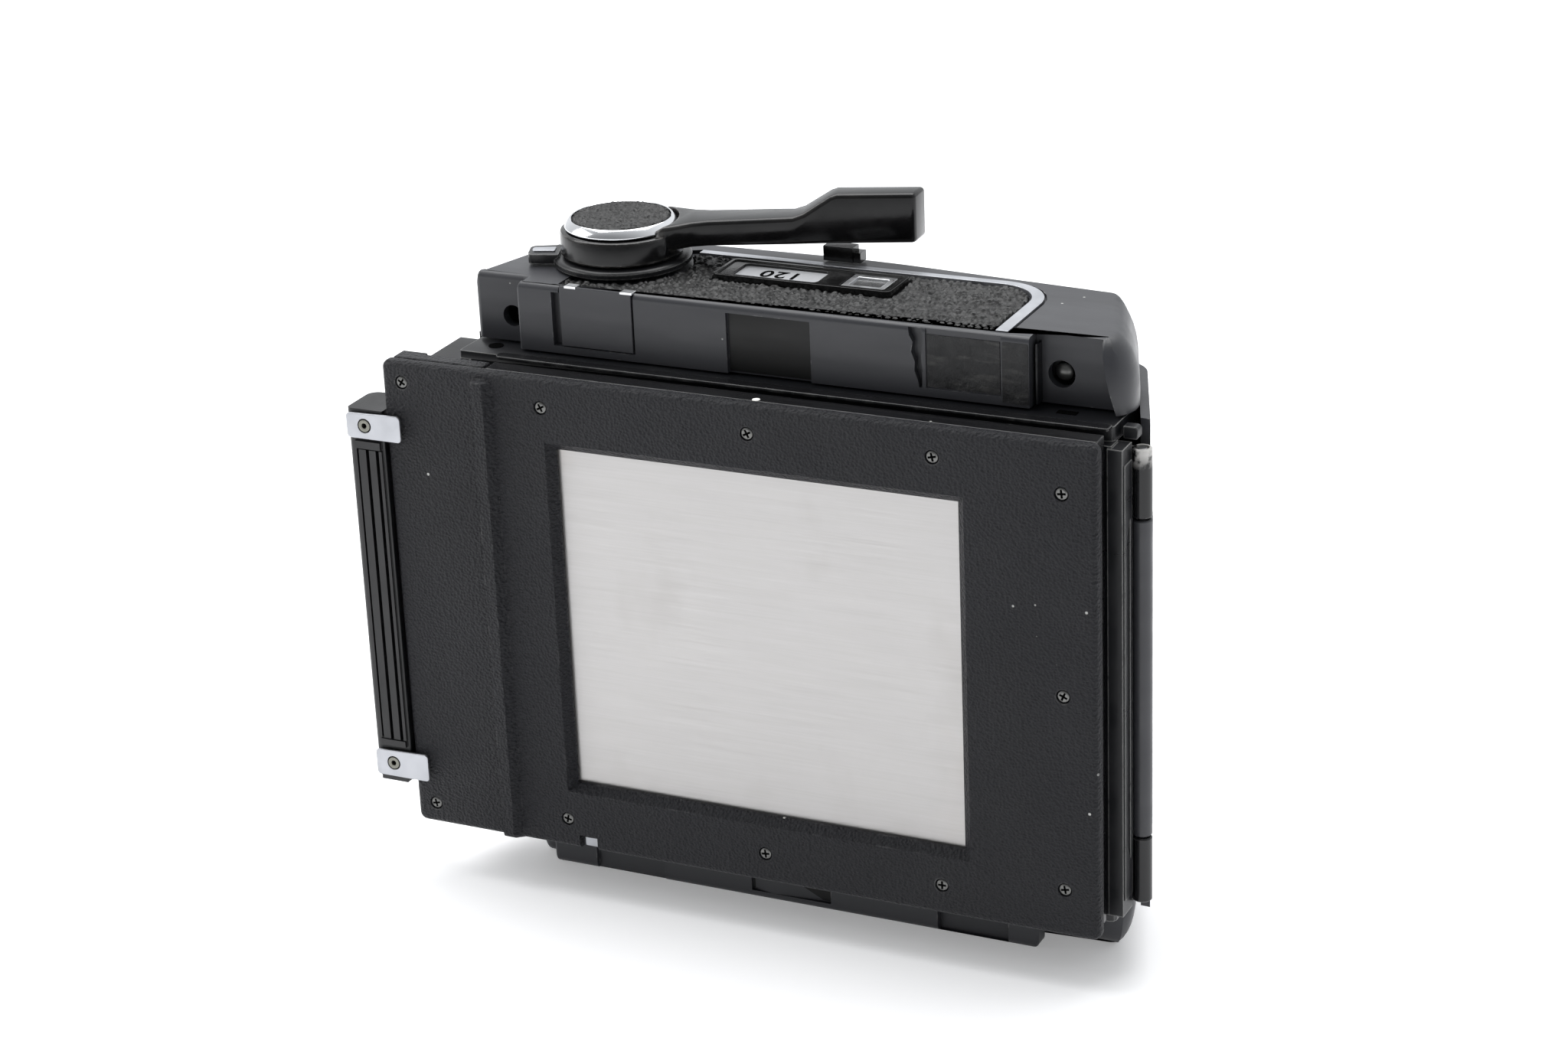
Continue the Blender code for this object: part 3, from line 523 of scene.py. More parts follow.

# %% [markdown]
# ## Parts that keep their solid but need real edges
# A imported solid is loose triangles with perfectly sharp edges. For the frame, the body and the
# turned parts inside, a copy is merged back into clean faces, its flats are joined again, and a
# Bevel modifier rounds what is sharp. That is quicker and truer than drawing them twice. The two
# coil springs under the spool studs are dressed too; the share of their height that the studs'
# travel would leave is worked out, but they are not flattened.

# %% Dress copies of the plain solids
DRESSED = {
    "slide_frame": (RAIL_BLACK, 0.25), "light_trap_block": (CRINKLE, 0.30),
    "holder_body": (WORN_PAINT, 0.22), "wall_panel": (HOUSING_PAINT, 0.12),
    "door_latch": (SATIN_ALLOY, 0.15),
    "pressure_plate": (SATIN, 0.15), "spool_carriage": (SATIN, 0.15),
    "pressure_spring_upper": (SPRING_STEEL, 0.0), "pressure_spring_lower": (SPRING_STEEL, 0.0),
    "take_up_spool": (SPOOL_PLASTIC, 0.20), "supply_spool": (SPOOL_PLASTIC, 0.20),
    "film_roller_left": (SATIN_ALLOY, 0.20), "film_roller_right": (SATIN_ALLOY, 0.20),
    "winding_shaft": (SPRING_STEEL, 0.15), "wind_gear": (BRASS, 0.08), "idler_gear": (BRASS, 0.08),
    "counter_dial": (DIAL_WHITE, 0.10), "lever_return_spring": (SPRING_STEEL, 0.0),
    "take_up_lower_stud": (SATIN_ALLOY, 0.15), "supply_lower_stud": (SATIN_ALLOY, 0.15),
    "supply_upper_stud": (SATIN_ALLOY, 0.15), "hinge_pin": (SPRING_STEEL, 0.08),
}
STUD_TRAVEL = 2.6
BODY_OF = {
    node: body for body, nodes in frame["record"]["behaviour"]["bodies"].items() for node in nodes
}


def dressed(name, finish, edge):
    """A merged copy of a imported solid, with its edges rounded by a width in millimetres."""
    node = frame["nodes"][name]
    copy = bmesh.new()
    copy.from_mesh(node.data)
    copy.transform(Matrix.Scale(1 / MM, 4) @ Matrix.Translation(-CORNER) @ node.matrix_world)
    bmesh.ops.remove_doubles(copy, verts=copy.verts, dist=2e-3)
    bmesh.ops.dissolve_limit(
        copy, angle_limit=math.radians(1), verts=copy.verts, edges=copy.edges,
    )
    return place(f"{name}_finished", copy, finish, BODY_OF[name], (name,), edge=edge)


for name, (finish, edge) in DRESSED.items():
    dressed(name, finish, edge)
for side in ("take_up", "supply"):
    coil = dressed(f"{side}_stud_spring", SPRING_STEEL, 0.0)
    low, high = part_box(f"{side}_stud_spring")
    tall = high[2] - low[2]
    left = (tall - STUD_TRAVEL * MM) / tall
    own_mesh(coil)
print("dressed", len(DRESSED), "parts")

# %% [markdown]
# ## Front plate
# A milled plate with a soft outer edge, a low ridge that stops light creeping in beside the
# slide, and a window with a chamfer all round. It starts as a block: the corners are bevelled,
# planes slice it where the window and the ridge will be, the window's faces are taken out and
# the two openings bridged, and the ridge is two rows of points pulled forward.

# %% Front plate
PLATE_X, PLATE_Z, PLATE_BACK = (-1.2, 128.2), (-1.2, 86.1), 1.8
WINDOW_X, WINDOW_Z = (31.2, 104.0), (11.1, 73.3)
RIDGE_ROWS = {16.7: 0.0, 16.85: -1.1, 18.9: -1.1, 20.3: 0.0}
RIDGE_TOP = 84.3
SCREW_PLACES = (
    (2.7, 82.4), (29.4, 80.9), (67.6, 80.9), (100.2, 80.9), (122.1, 77.4), (122.1, 42.4),
    (122.1, 7.5), (100.2, 4.3), (67.6, 4.3), (29.4, 4.3), (2.7, 2.8),
)


def slice_at(shape, axis, value):
    normal = Vector([1.0 if i == axis else 0.0 for i in range(3)])
    everything = shape.verts[:] + shape.edges[:] + shape.faces[:]
    bmesh.ops.bisect_plane(shape, geom=everything, dist=1e-5, plane_co=normal * value, plane_no=normal)


def rim(shape, inside):
    """The edges of the front face whose middles pass the test."""
    found = []
    for edge in shape.edges:
        middle = (edge.verts[0].co + edge.verts[1].co) / 2
        if max(abs(vert.co.y) for vert in edge.verts) > 1e-4 or not inside(middle):
            continue
        if len(edge.link_faces) == 2 and edge.calc_face_angle() > 0.5:
            found.append(edge)
    return found


def round_edges(shape, edges, width, steps):
    bmesh.ops.bevel(
        shape, geom=edges, offset=width, segments=steps, profile=0.5, affect="EDGES",
        material=-1, clamp_overlap=True,
    )


def round_sharp(shape, width, steps=3):
    """Rounds every edge that is sharper than the usual limit."""
    found = [e for e in shape.edges if e.is_manifold and e.calc_face_angle() > SHARP]
    bmesh.ops.bevel(
        shape, geom=found, offset=width, segments=steps, profile=0.5, affect="EDGES",
        material=-1, clamp_overlap=False,
    )
    return shape


def plate_shape():
    plate = block(PLATE_X, (0, PLATE_BACK), PLATE_Z)
    uprights = [e for e in plate.edges if abs(e.verts[0].co.y - e.verts[1].co.y) > 1]
    round_edges(plate, uprights, 1.5, 5)
    round_edges(plate, rim(plate, lambda middle: True), 1.1, 4)
    for value in (*WINDOW_X, *RIDGE_ROWS):
        slice_at(plate, 0, value)
    for value in (*WINDOW_Z, RIDGE_TOP, RIDGE_TOP + 0.5):
        slice_at(plate, 2, value)

    def in_window(point, margin=0.0):
        across = WINDOW_X[0] - margin < point.x < WINDOW_X[1] + margin
        return across and WINDOW_Z[0] - margin < point.z < WINDOW_Z[1] + margin

    panes = [face for face in plate.faces if in_window(face.calc_center_median())]
    bmesh.ops.delete(plate, geom=panes, context="FACES")
    bmesh.ops.bridge_loops(plate, edges=[edge for edge in plate.edges if edge.is_boundary])
    round_edges(plate, rim(plate, lambda middle: in_window(middle, 0.5)), 1.45, 1)
    for vert in plate.verts:
        for x, y in RIDGE_ROWS.items():
            if abs(vert.co.x - x) < 1e-3 and vert.co.y < 1.2 and vert.co.z < RIDGE_TOP + 0.1:
                vert.co.y += y
    return plate


sink = [(0, 0.6), (1.24, 0.6), (1.24, -0.15), (0.85, -0.95), (0, -0.95)]
notch = block((31.5, 35.0), (-1.0, 2.2), (-1.6, 1.5))
sinks = [facing(turned(sink, (0, 0), 28), x, z) for x, z in SCREW_PLACES]
plate = place(
    "front_plate_finished", combine(plate_shape(), [*sinks, notch]), CRINKLE, "holder", ("front_plate",),
)
print("front plate faces:", len(plate.data.polygons))

# %% [markdown]
# ## Cross-head screws
# Eleven small countersunk screws hold the plate. One head is turned, its cross is cut with two
# narrow blocks, and the others are copies of it, each stopped at its own angle as real ones are.

# %% Plate screws
turns = random.Random(7)
profile = [(0, -0.06), (0.80, -0.06), (1.03, -0.20), (1.03, -0.45), (0.6, -1.2), (0, -1.2)]
head = turned(profile, (0, 0), 28)
bars = [block((-0.72, 0.72), (-0.17, 0.17), (-0.60, 0.3)), block((-0.17, 0.17), (-0.72, 0.72), (-0.60, 0.3))]
# A near-black cross sunk into the bottom of each slot is painted shade.
cross = combine(bars[0].copy(), [bars[1].copy()], "UNION")
bmesh.ops.translate(cross, verts=cross.verts, vec=(0, 0, -0.50))
head = combine(head, bars)
for number, (x, z) in enumerate(SCREW_PLACES, 1):
    screw, painted_slot_shade = head.copy(), cross.copy()
    spin = Matrix.Rotation(turns.uniform(0, math.pi), 3, "Z")
    for shape in (screw, painted_slot_shade):
        bmesh.ops.rotate(shape, verts=shape.verts, matrix=spin)
    node = f"plate_screw_{number:02d}"
    place(f"{node}_head", facing(screw, x, z), SCREW_STEEL, "holder", (node,), edge=0.04, steps=1)
    place(f"{node}_dirt", facing(painted_slot_shade, x, z), SHADE_AND_PRINT_BLACK, "holder", flat=True)
head.free()
cross.free()
print("screws:", len(SCREW_PLACES))

# %% [markdown]
# ## Dark slide handle and clips
# The handle is a ribbed moulding on the end of the steel slide. Two bright clips hold it, each
# with one screw. Ribs are left standing by milling grooves between them, with a small raised pad
# at either end.

# %% Handle, clips and their screws
HANDLE_X, HANDLE_Y, HANDLE_Z = (-8.7, -1.55), (-0.2, 8.5), (6.2, 76.7)
GROOVES_X, GROOVE_Z = (-6.95, -4.9, -2.95), (14.4, 69.4)
grip = prism(
    [(HANDLE_X[0], HANDLE_Y[0], 0.9), (HANDLE_X[1], HANDLE_Y[0], 0.3),
     (HANDLE_X[1], HANDLE_Y[1], 0.8), (HANDLE_X[0], HANDLE_Y[1], 2.0)], (HANDLE_Z[0] + 0.5, HANDLE_Z[1]),
)
ribs = [
    block((left + 0.30, right - 0.30), (-0.62, 0.4), GROOVE_Z)
    for left, right in zip(GROOVES_X, (*GROOVES_X[1:], -1.75))
]
pads = [block((-7.3, -2.2), (-0.80, 0.4), z) for z in ((69.6, 71.0), (13.1, 14.3))]
foot = block((-8.3, -3.0), (0.3, 8.0), (5.7, 7.2))
grip = combine(grip, ribs + pads + [foot], "UNION")
grooves = [block((x - 0.30, x + 0.30), (-1.5, 0.5), GROOVE_Z) for x in GROOVES_X]
grip = combine(grip, grooves)
place("ribbed_handle", grip, BLACK_PLASTIC, "slide", ("slide_handle",), edge=0.18, steps=2)

CLIPS = {"upper": (71.6, 76.4), "lower": (7.3, 12.5)}
button = [
    (0, 0.75), (0.40, 0.75), (0.50, 1.08), (0.85, 1.14), (1.08, 1.10), (1.15, 0.95), (1.15, 0.6), (0, 0.6),
]
for side, (low, high) in CLIPS.items():
    centre = (-4.8, (low + high) / 2)
    strap = upright(
        [(-8.35, low, 0.7), (2.3, low, 0.7), (2.3, high, 0.7), (-8.35, high - 0.3, 0.7)], (-1.1, -0.55),
    )
    strap = combine(strap, [facing(turned([(0, 0), (1.28, 0), (1.28, 2), (0, 2)], (0, 0), 32), *centre)])
    place(f"bright_clip_{side}", strap, CLIP_ALLOY, "slide", (f"slide_clip_{side}",), edge=0.14, steps=3)
    rivet = facing(turned(button, (0, 0), 32), *centre)
    place(f"clip_rivet_{side}", rivet, RIVET, "slide", (f"clip_screw_{side}",))
    # A near-black disc on the floor of each rivet's hole is painted shade.
    painted_hole_shade = facing(turned([(0, 0.74), (0.36, 0.74), (0.36, 0.82), (0, 0.82)], (0, 0), 24), *centre)
    place(f"clip_rivet_well_{side}", painted_hole_shade, SHADE_AND_PRINT_BLACK, "slide")
print("handle and clips made")

# %% [markdown]
# ## Housings
# The top and bottom housings are castings with a small radius along the front, a rather sharp
# rear edge and a large soft shoulder on the right. A modifier rounds every edge alike, so here
# the flat outline is extruded in steps and each point leans in by an amount that depends on the
# way it faces. Pockets, panels and holes are then cut as a mill would.

# %% Rounded housings
TOP_OUTLINE = [
    (20.0, 11.0, 0.6), (112.9, 11.0, 0), (113.1, 11.0, 0), (124.5, 11.2, 6), (131.2, 11.9, 6.5),
    (121.6, 37.7, 6.5), (72, 42.1, 150), (17.6, 40.7, 13.5), (9.8, 14.4, 1.0), (20.0, 14.4, 0.4),
]
LOW_OUTLINE = [
    (20.0, 11.0, 0.6), (113.0, 11.0, 0.6), (113.0, 14.4, 0.4), (129.3, 14.4, 3.6),
    (121.6, 37.7, 6.5), (72, 42.1, 150), (17.6, 40.7, 13.5), (14.8, 14.4, 2.6), (20.0, 14.4, 0.4),
]
HOUSING_HOLLOW = [
    (21.8, 12.8, 0), (111.2, 12.8, 0), (111.2, 16.2, 0), (122.4, 16.2, 1), (117.4, 35.4, 3),
    (72, 40.1, 150), (18.9, 38.8, 11), (12.0, 16.2, 0), (21.8, 16.2, 0),
]
LOW_HOLLOW = [*HOUSING_HOLLOW[:-2], (17.4, 17.2, 0), (21.8, 16.2, 0)]


def ease(value, low, high):
    share = min(1.0, max(0.0, (value - low) / (high - low)))
    return share * share * (3 - 2 * share)


def shoulder(out, x):
    """How far in and down the outer edge is rounded for a point that faces this way."""
    right = max(ease(out.x, 0.05, 0.85) * ease(x, 112, 124), ease(-out.y, 0.3, 0.9) * (x > 113.05))
    left = ease(-out.x, 0.3, 0.9) * ease(-x, -24, -14)
    rear = ease(out.y, 0.2, 0.7) * (1 - right)
    wide = 0.95 + 3.4 * right + 0.8 * left + 0.6 * rear
    deep = 1.05 + 8.2 * right + 1.4 * left + 0.8 * rear
    return wide, deep


def mitre_of(points, i):
    """The outward direction at a point of a loop that runs anticlockwise."""
    ahead = (points[(i + 1) % len(points)] - points[i]).normalized()
    behind = (points[i] - points[i - 1]).normalized()
    side_a, side_b = Vector((ahead.y, -ahead.x)), Vector((behind.y, -behind.x))
    return (side_a + side_b) / (1 + side_a.dot(side_b))


def domed(corners, base, top, steps=8):
    shape = outline(corners, base, 8)
    way = 1 if top > base else -1
    current = shape.faces[:][0]
    points = [vert.co.xy.copy() for vert in current.verts]
    if current.normal.z < 0:
        points.reverse()
    key = {(round(p.x, 4), round(p.y, 4)): i for i, p in enumerate(points)}
    mitres = [mitre_of(points, i) for i in range(len(points))]
    sizes = [shoulder(out, p.x) for p, out in zip(points, mitres)]
    owner = {vert: key[(round(vert.co.x, 4), round(vert.co.y, 4))] for vert in current.verts}
    for step in range(steps + 1):
        lean = step / steps * math.pi / 2
        before = {tuple(round(c, 4) for c in vert.co): i for vert, i in owner.items()}
        grown = bmesh.ops.extrude_face_region(shape, geom=[current], use_keep_orig=True)
        if step:
            bmesh.ops.delete(shape, geom=[current], context="FACES_ONLY")
        current = next(item for item in grown["geom"] if isinstance(item, bmesh.types.BMFace))
        owner = {vert: before[tuple(round(c, 4) for c in vert.co)] for vert in current.verts}
        for vert, i in owner.items():
            wide, deep = sizes[i]
            inset = wide * (1 - math.cos(lean))
            flat = points[i] - mitres[i] * inset
            vert.co = (flat.x, flat.y, top - way * deep * (1 - math.sin(lean)))
    return shape


def front_cut(x, depth, z):
    return block(x, (9.0, 11.0 + depth), z)


def across_hole(radius, x, z):
    return facing(turned([(0, -10), (radius, -10), (radius, -20), (0, -20)], (0, 0), 36), x, z)


WEDGE = [
    (91.9, 98.3, 0), (92.1, 97.0, 0), (92.7, 95.9, 0), (92.4, 94.2, 0), (93.0, 92.6, 0),
    (92.9, 91.0, 0), (93.5, 89.4, 0), (93.7, 88.2, 0), (94.2, 88.2, 0), (94.3, 91.2, 0),
    (94.1, 93.6, 0), (94.5, 96.1, 0), (94.4, 98.3, 0),
]


def even_out(made):
    """Lets the large flat faces decide the shading, so that slivers beside a cut don't show."""
    made.modifiers["soft edges"].harden_normals = False
    weigh = made.modifiers.new("even shading", "WEIGHTED_NORMAL")
    weigh.keep_sharp = True


TOP_BASE, TOP_Z = 86.8, 98.7
top_cuts = [
    prism(
        [(27.5, 12.3, 0), (109.0, 12.3, 0), (109.0, 37.0, 9.6), (42.4, 37.0, 0), (27.5, 30.0, 0)],
        (98.05, 101),
    ),
    turned([(0, 90), (6.0, 90), (6.0, 102), (0, 102)], (32.4, 27.0), 40),
    block((74.6, 80.8), (25.8, 30.8), (90, 102)),
    front_cut((59.3, 74.5), 0.7, (TOP_BASE - 1, 97.3)),
    front_cut((28.1, 42.2), 0.7, (88.1, 100)),
    front_cut((26.7, 28.4), 1.3, (88.1, 97.6)),
    upright(WEDGE, (9.5, 12.2)),
    front_cut((94.9, 107.9), 0.28, (88.3, 100)),
    upright([(112.7, 85.8, 0), (127.2, 85.8, 0), (123.6, 99.8, 0), (112.7, 99.8, 0)], (9.0, 14.6)),
    across_hole(2.3, 116.9, 91.9),
    across_hole(1.9, 17.2, 91.3),
    prism(HOUSING_HOLLOW, (TOP_BASE - 1, 96.0)),
]
top_shell = combine(domed(TOP_OUTLINE, TOP_BASE, TOP_Z), top_cuts, solver="MANIFOLD")
even_out(place("top_shell", top_shell, HOUSING_PAINT, "holder", ("top_housing",), edge=0.16, steps=2))

LOW_BASE, LOW_Z = -1.9, -11.0
low_cuts = [
    front_cut((59.3, 74.5), 0.7, (-9.6, 0)),
    front_cut((28.6, 42.2), 0.9, (-12, 0)),
    front_cut((94.6, 107.6), 1.4, (-12, 0)),
    across_hole(2.3, 116.9, -5.6),
    prism(LOW_HOLLOW, (-8.4, 0)),
]
low_shell = combine(domed(LOW_OUTLINE, LOW_BASE, LOW_Z), low_cuts, solver="MANIFOLD")
even_out(place("bottom_shell", low_shell, HOUSING_PAINT, "holder", ("bottom_housing",), edge=0.16, steps=2))
print("housings made")

# %% [markdown]
# ## Small things on the housings
# A thin rib stands at the left of the right-hand recess, a pan-head screw shows down the hole
# beside it, two silver tabs lap over the top of the inset panel, and a white dot on the frame
# marks the middle of the picture.

# %% Rib, screw, tabs and dot
place("dark_panel", block((59.5, 74.3), (11.62, 11.72), (87.1, 97.1)), DEEP_BLACK, "holder", edge=0.02)
place("dark_panel_low", block((59.5, 74.3), (11.62, 11.72), (-9.4, -2.1)), DEEP_BLACK, "holder", edge=0.02)
place("scuffed_panel", block((95.1, 107.7), (11.12, 11.32), (88.5, 97.4)), SCUFFED, "holder", edge=0.05)
pillar = upright(
    [(108.1, 87.3, 0.2), (112.6, 87.3, 0.2), (112.6, 97.6, 0.3), (108.1, 97.6, 0.3)], (10.93, 11.2),
)
place("scuffed_pillar", pillar, SCUFFED, "holder", edge=0.05)
bracket = upright(
    [(128.7, 83.9, 0.2), (131.2, 83.9, 0.5), (131.2, 86.0, 0.7), (128.7, 86.0, 0.2)], (10.3, 12.3),
)
place("hinge_bracket", bracket, WORN_PAINT, "holder", edge=0.15)
shade = turned([(0, 86.42), (1.3, 86.42), (1.3, 86.5), (0, 86.5)], (14.8, 12.0), 32)
place("deck_hole_shade", shade, SHADE_AND_PRINT_BLACK, "holder")
place("deck_slot_shade", block((117.0, 120.4), (11.4, 12.9), (86.42, 86.5)), SHADE_AND_PRINT_BLACK, "holder", edge=0.03)
place("recess_rib", block((113.15, 113.6), (12.4, 14.9), (87.0, 97.2)), SATIN, "holder", edge=0.15)
pan = [(0, -15.2), (0.9, -15.35), (1.5, -15.9), (1.6, -16.4), (1.6, -17.4), (0, -17.4)]
place("recess_screw", facing(turned(pan, (0, 0), 28), 116.9, 91.9), SCREW_STEEL, "holder")
for number, (left, right) in enumerate(((29.4, 31.6), (39.9, 42.2)), 1):
    tab = block((left, right), (10.75, 12.6), (98.55, 98.95))
    place(f"panel_tab_{number}", tab, SATIN_ALLOY, "holder", edge=0.10)
dot = turned([(0, 85.9), (0.72, 85.9), (0.66, 86.06), (0, 86.08)], (68.3, 2.75), 32)
place("index_dot", dot, DOT_WHITE, "holder")
rail = prism([(17.6, 6.15, 1.1), (127.7, 6.15, 0.4), (127.7, 8.5, 0.4), (17.6, 8.5, 1.1)], (86.2, 86.8))
place("guide_rail", rail, RAIL_BLACK, "holder", edge=0.22, steps=3)
print("small things made")

# %% [markdown]
# ## Pebbled covering
# The leatherette on top shows pebbles a millimetre across and ragged cut edges, so they are real
# geometry: a fine grid is trimmed to the outline, each point rises by a cell noise, the border
# wanders a little, and the sheet is then pushed down to give it a thickness.

# %% Leatherette on the top and on the hub
def pebble(x, y, size, height):
    """Rounded pebbles of a size in millimetres, from the distance to the nearest cell middle."""
    near, next_near = noise.voronoi(Vector((x / size, y / size, 3.7)))[0][:2]
    return height * ease(next_near - near, 0.0, 0.45)


def covering(keep, centre, half, cell, low, high, size, height):
    """A pebbled sheet over the points that keep() accepts."""
    sheet = bmesh.new()
    count = (int(half[0] * 2 / cell), int(half[1] * 2 / cell))
    bmesh.ops.create_grid(sheet, x_segments=count[0], y_segments=count[1], size=1)
    bmesh.ops.scale(sheet, verts=sheet.verts, vec=(*half, 1))
    bmesh.ops.translate(sheet, verts=sheet.verts, vec=(*centre, high))
    outside = [face for face in sheet.faces if not keep(face.calc_center_median())]
    bmesh.ops.delete(sheet, geom=outside, context="FACES")
    border = [vert for vert in sheet.verts if vert.is_boundary]
    bmesh.ops.smooth_vert(sheet, verts=border, factor=0.5, use_axis_x=True, use_axis_y=True)
    for vert in sheet.verts:
        vert.co.z = high - height + pebble(vert.co.x, vert.co.y, size, height)
        if vert.is_boundary:
            vert.co.z -= height
    return push(sheet, (0, 0, low - high))


HUB = Vector((32.4, 27.0))
SKIN_LEFT, SKIN_RIGHT, SKIN_FRONT, SKIN_REAR = 27.8, 106.0, 12.55, 34.6
SKIN_CORNER = 7.3


def on_top(point):
    """Inside the trimmed outline, clear of the lever's skirt and of the window's frame."""
    ragged = 0.16 * noise.noise(Vector((point.x * 1.6, point.y * 1.6, 0)))
    x, y = point.x + ragged, point.y + ragged
    if not (SKIN_LEFT < x < SKIN_RIGHT and SKIN_FRONT < y < SKIN_REAR):
        return False
    corner = Vector((SKIN_RIGHT - SKIN_CORNER, SKIN_REAR - SKIN_CORNER))
    if x > corner.x and y > corner.y and (Vector((x, y)) - corner).length > SKIN_CORNER:
        return False
    if x < 43 and y > 29 + (x - SKIN_LEFT) * 0.37:
        return False
    if 50.8 < point.x < 83.7 and 23.0 < point.y < 32.5:
        return False
    return (Vector((x, y)) - HUB).length > 12.1


top_skin = covering(on_top, (66.9, 23.6), (39.2, 11.2), 0.26, 98.15, 98.85, 1.15, 0.42)
place("pebbled_top", top_skin, LEATHER_FINE, "holder", ("top_leatherette",))


def on_hub(point):
    return (point.xy - HUB).length < 8.45


hub_skin = covering(on_hub, HUB, (8.6, 8.6), 0.20, 106.3, 107.06, 1.0, 0.30)
place("pebbled_disc", hub_skin, LEATHER_FINE, "lever", ("hub_disc",))
print("coverings made")

# %% [markdown]
# ## Trim, film window and counter window
# A narrow silver trim runs round the covering. The glossy frame holds a silver label with the
# film size and a small window onto the frame counter. The digits are plain ones, and they read
# from behind the camera, where its user stands.

# %% Trim and windows
trim = prism([(43.0, 12.5, 0), (108.6, 12.5, 0), (108.6, 36.6, 9.4), (43.0, 36.6, 0)], (98.1, 98.92), 12)
inside = prism([(40.0, 10.0, 0), (106.45, 10.0, 0), (106.45, 34.95, 7.6), (40.0, 34.95, 0)], (97, 100), 12)
place("silver_trim", combine(trim, [inside]), CLIP_ALLOY, "holder", ("trim_strip",), edge=0.08)

rim_of_window = prism(
    [(51.0, 23.2, 1.0), (83.5, 23.2, 1.0), (83.5, 32.3, 1.0), (51.0, 32.3, 1.0)], (98.2, 99.55),
)
window_cuts = [
    prism([(51.6, 23.8, 0.6), (82.9, 23.8, 0.6), (82.9, 31.7, 0.6), (51.6, 31.7, 0.6)], (99.3, 101)),
    prism([(54.0, 24.8, 0.9), (69.6, 24.8, 0.9), (69.6, 30.9, 0.9), (54.0, 30.9, 0.9)], (97, 101)),
    prism([(73.7, 24.8, 0.4), (81.8, 24.8, 0.4), (81.8, 31.6, 0.4), (73.7, 31.6, 0.4)], (97, 101)),
]
frame_shape = combine(rim_of_window, window_cuts)
place("glossy_frame", frame_shape, GLOSS_PLASTIC, "holder", ("window_bezel",), edge=0.12, steps=3)
label = prism([(54.1, 24.9, 0.8), (69.5, 24.9, 0.8), (69.5, 30.8, 0.8), (54.1, 30.8, 0.8)], (98.3, 98.9))
place("film_size_label", label, LABEL_SILVER, "holder", ("film_type_label",))
surround = prism([(73.8, 24.9, 0.3), (81.7, 24.9, 0.3), (81.7, 31.5, 0.3), (73.8, 31.5, 0.3)], (98.3, 99.15))
opening = prism([(74.9, 26.1, 0.3), (80.6, 26.1, 0.3), (80.6, 30.3, 0.3), (74.9, 30.3, 0.3)], (97, 101))
place("counter_surround", combine(surround, [opening]), SATIN_ALLOY, "holder", edge=0.15)
place(
    "interlock_finger", block((29.2, 31.9), (6.1, 7.5), (-3.9, -0.8)), CLIP_ALLOY, "holder",
    ("interlock_tab",), edge=0.25, steps=3,
)
pane = prism([(74.7, 25.9, 0.2), (80.8, 25.9, 0.2), (80.8, 30.5, 0.2), (74.7, 30.5, 0.2)], (98.5, 98.8))
place("counter_pane", pane, WINDOW, "holder", ("counter_window",))


def digits(text, centre, height, level):
    """Flat raised digits that read from behind, as a mesh in plate millimetres."""
    curve = bpy.data.curves.new("digits", "FONT")
    curve.body = text
    curve.size = height * 1.38
    curve.align_x = "CENTER"
    curve.align_y = "CENTER"
    curve.extrude = 0.03
    curve.offset = 0.06
    curve.space_character = 1.12
    writing = bpy.data.objects.new("digits", curve)
    bpy.context.scene.collection.objects.link(writing)
    graph = bpy.context.evaluated_depsgraph_get()
    shape = bmesh.new()
    shape.from_mesh(bpy.data.meshes.new_from_object(writing.evaluated_get(graph)))
    bpy.data.objects.remove(writing)
    bmesh.ops.rotate(shape, verts=shape.verts, matrix=Matrix.Rotation(math.pi, 3, "Z"))
    bmesh.ops.translate(shape, verts=shape.verts, vec=(*centre, level))
    return shape


place("label_digits", digits("120", (61.8, 27.85), 3.3, 98.93), SHADE_AND_PRINT_BLACK, "holder", flat=True)
place("counter_digit", digits("1", (77.7, 28.2), 2.6, 94.24), SHADE_AND_PRINT_BLACK, "counter", flat=True)
print("trim and windows made")

# %% [markdown]
# ## Winding lever and hub
# The lever is one glossy casting: a drum, an arm that flares out of it, and a thumb piece that
# steps up at the end. The arm is where its plan and its side view meet, an intersection, which
# is how such a shape is drawn for a mould. The arm's edges are rounded first, a round place is
# cut from it over the drum, and the turned drum is then joined on.

# %% Lever, ring, skirt and selector tab
LEVER_ANGLE = math.radians(19)
arm_plan = [
    (6, -7.6, 0), (10.4, -5.4, 0), (12.6, -4.1, 0), (15.2, -3.5, 0), (28, -3.1, 0), (36, -2.6, 0),
    (50.4, -2.6, 0), (51.9, 2.4, 0), (36, 2.6, 0), (28, 3.4, 0), (15.2, 3.9, 0), (12.6, 4.5, 0),
    (10.4, 5.6, 0), (6, 7.6, 0),
]
arm_side = [
    (-20, 102.3, 0), (53, 102.3, 0), (53, 111.0, 0), (37.2, 111.0, 0), (36.0, 110.6, 0),
    (31.4, 107.7, 0), (29.6, 107.1, 0), (9, 106.6, 0), (-20, 106.3, 0),
]
arm = prism(arm_plan, (102.0, 112.0))
side = upright(arm_side, (-12, 12))
arm = round_sharp(combine(arm, [side], "INTERSECT"), 0.75, 4)
arm = combine(arm, [turned([(0, 105.2), (9.95, 105.2), (9.95, 120), (0, 120)], (0, 0), 64)])
drum = turned(
    [(0, 100.8), (10.35, 100.8), (10.6, 101.1), (10.6, 104.5), (10.45, 104.9), (10.1, 105.1), (0, 105.1)],
    (0, 0), 64,
)
lever = combine(drum, [arm], "UNION")
bmesh.ops.rotate(lever, verts=lever.verts, matrix=Matrix.Rotation(LEVER_ANGLE, 3, "Z"))
bmesh.ops.translate(lever, verts=lever.verts, vec=(*HUB, 0))
place("lever_casting", lever, ENAMEL, "lever", ("winding_lever",))

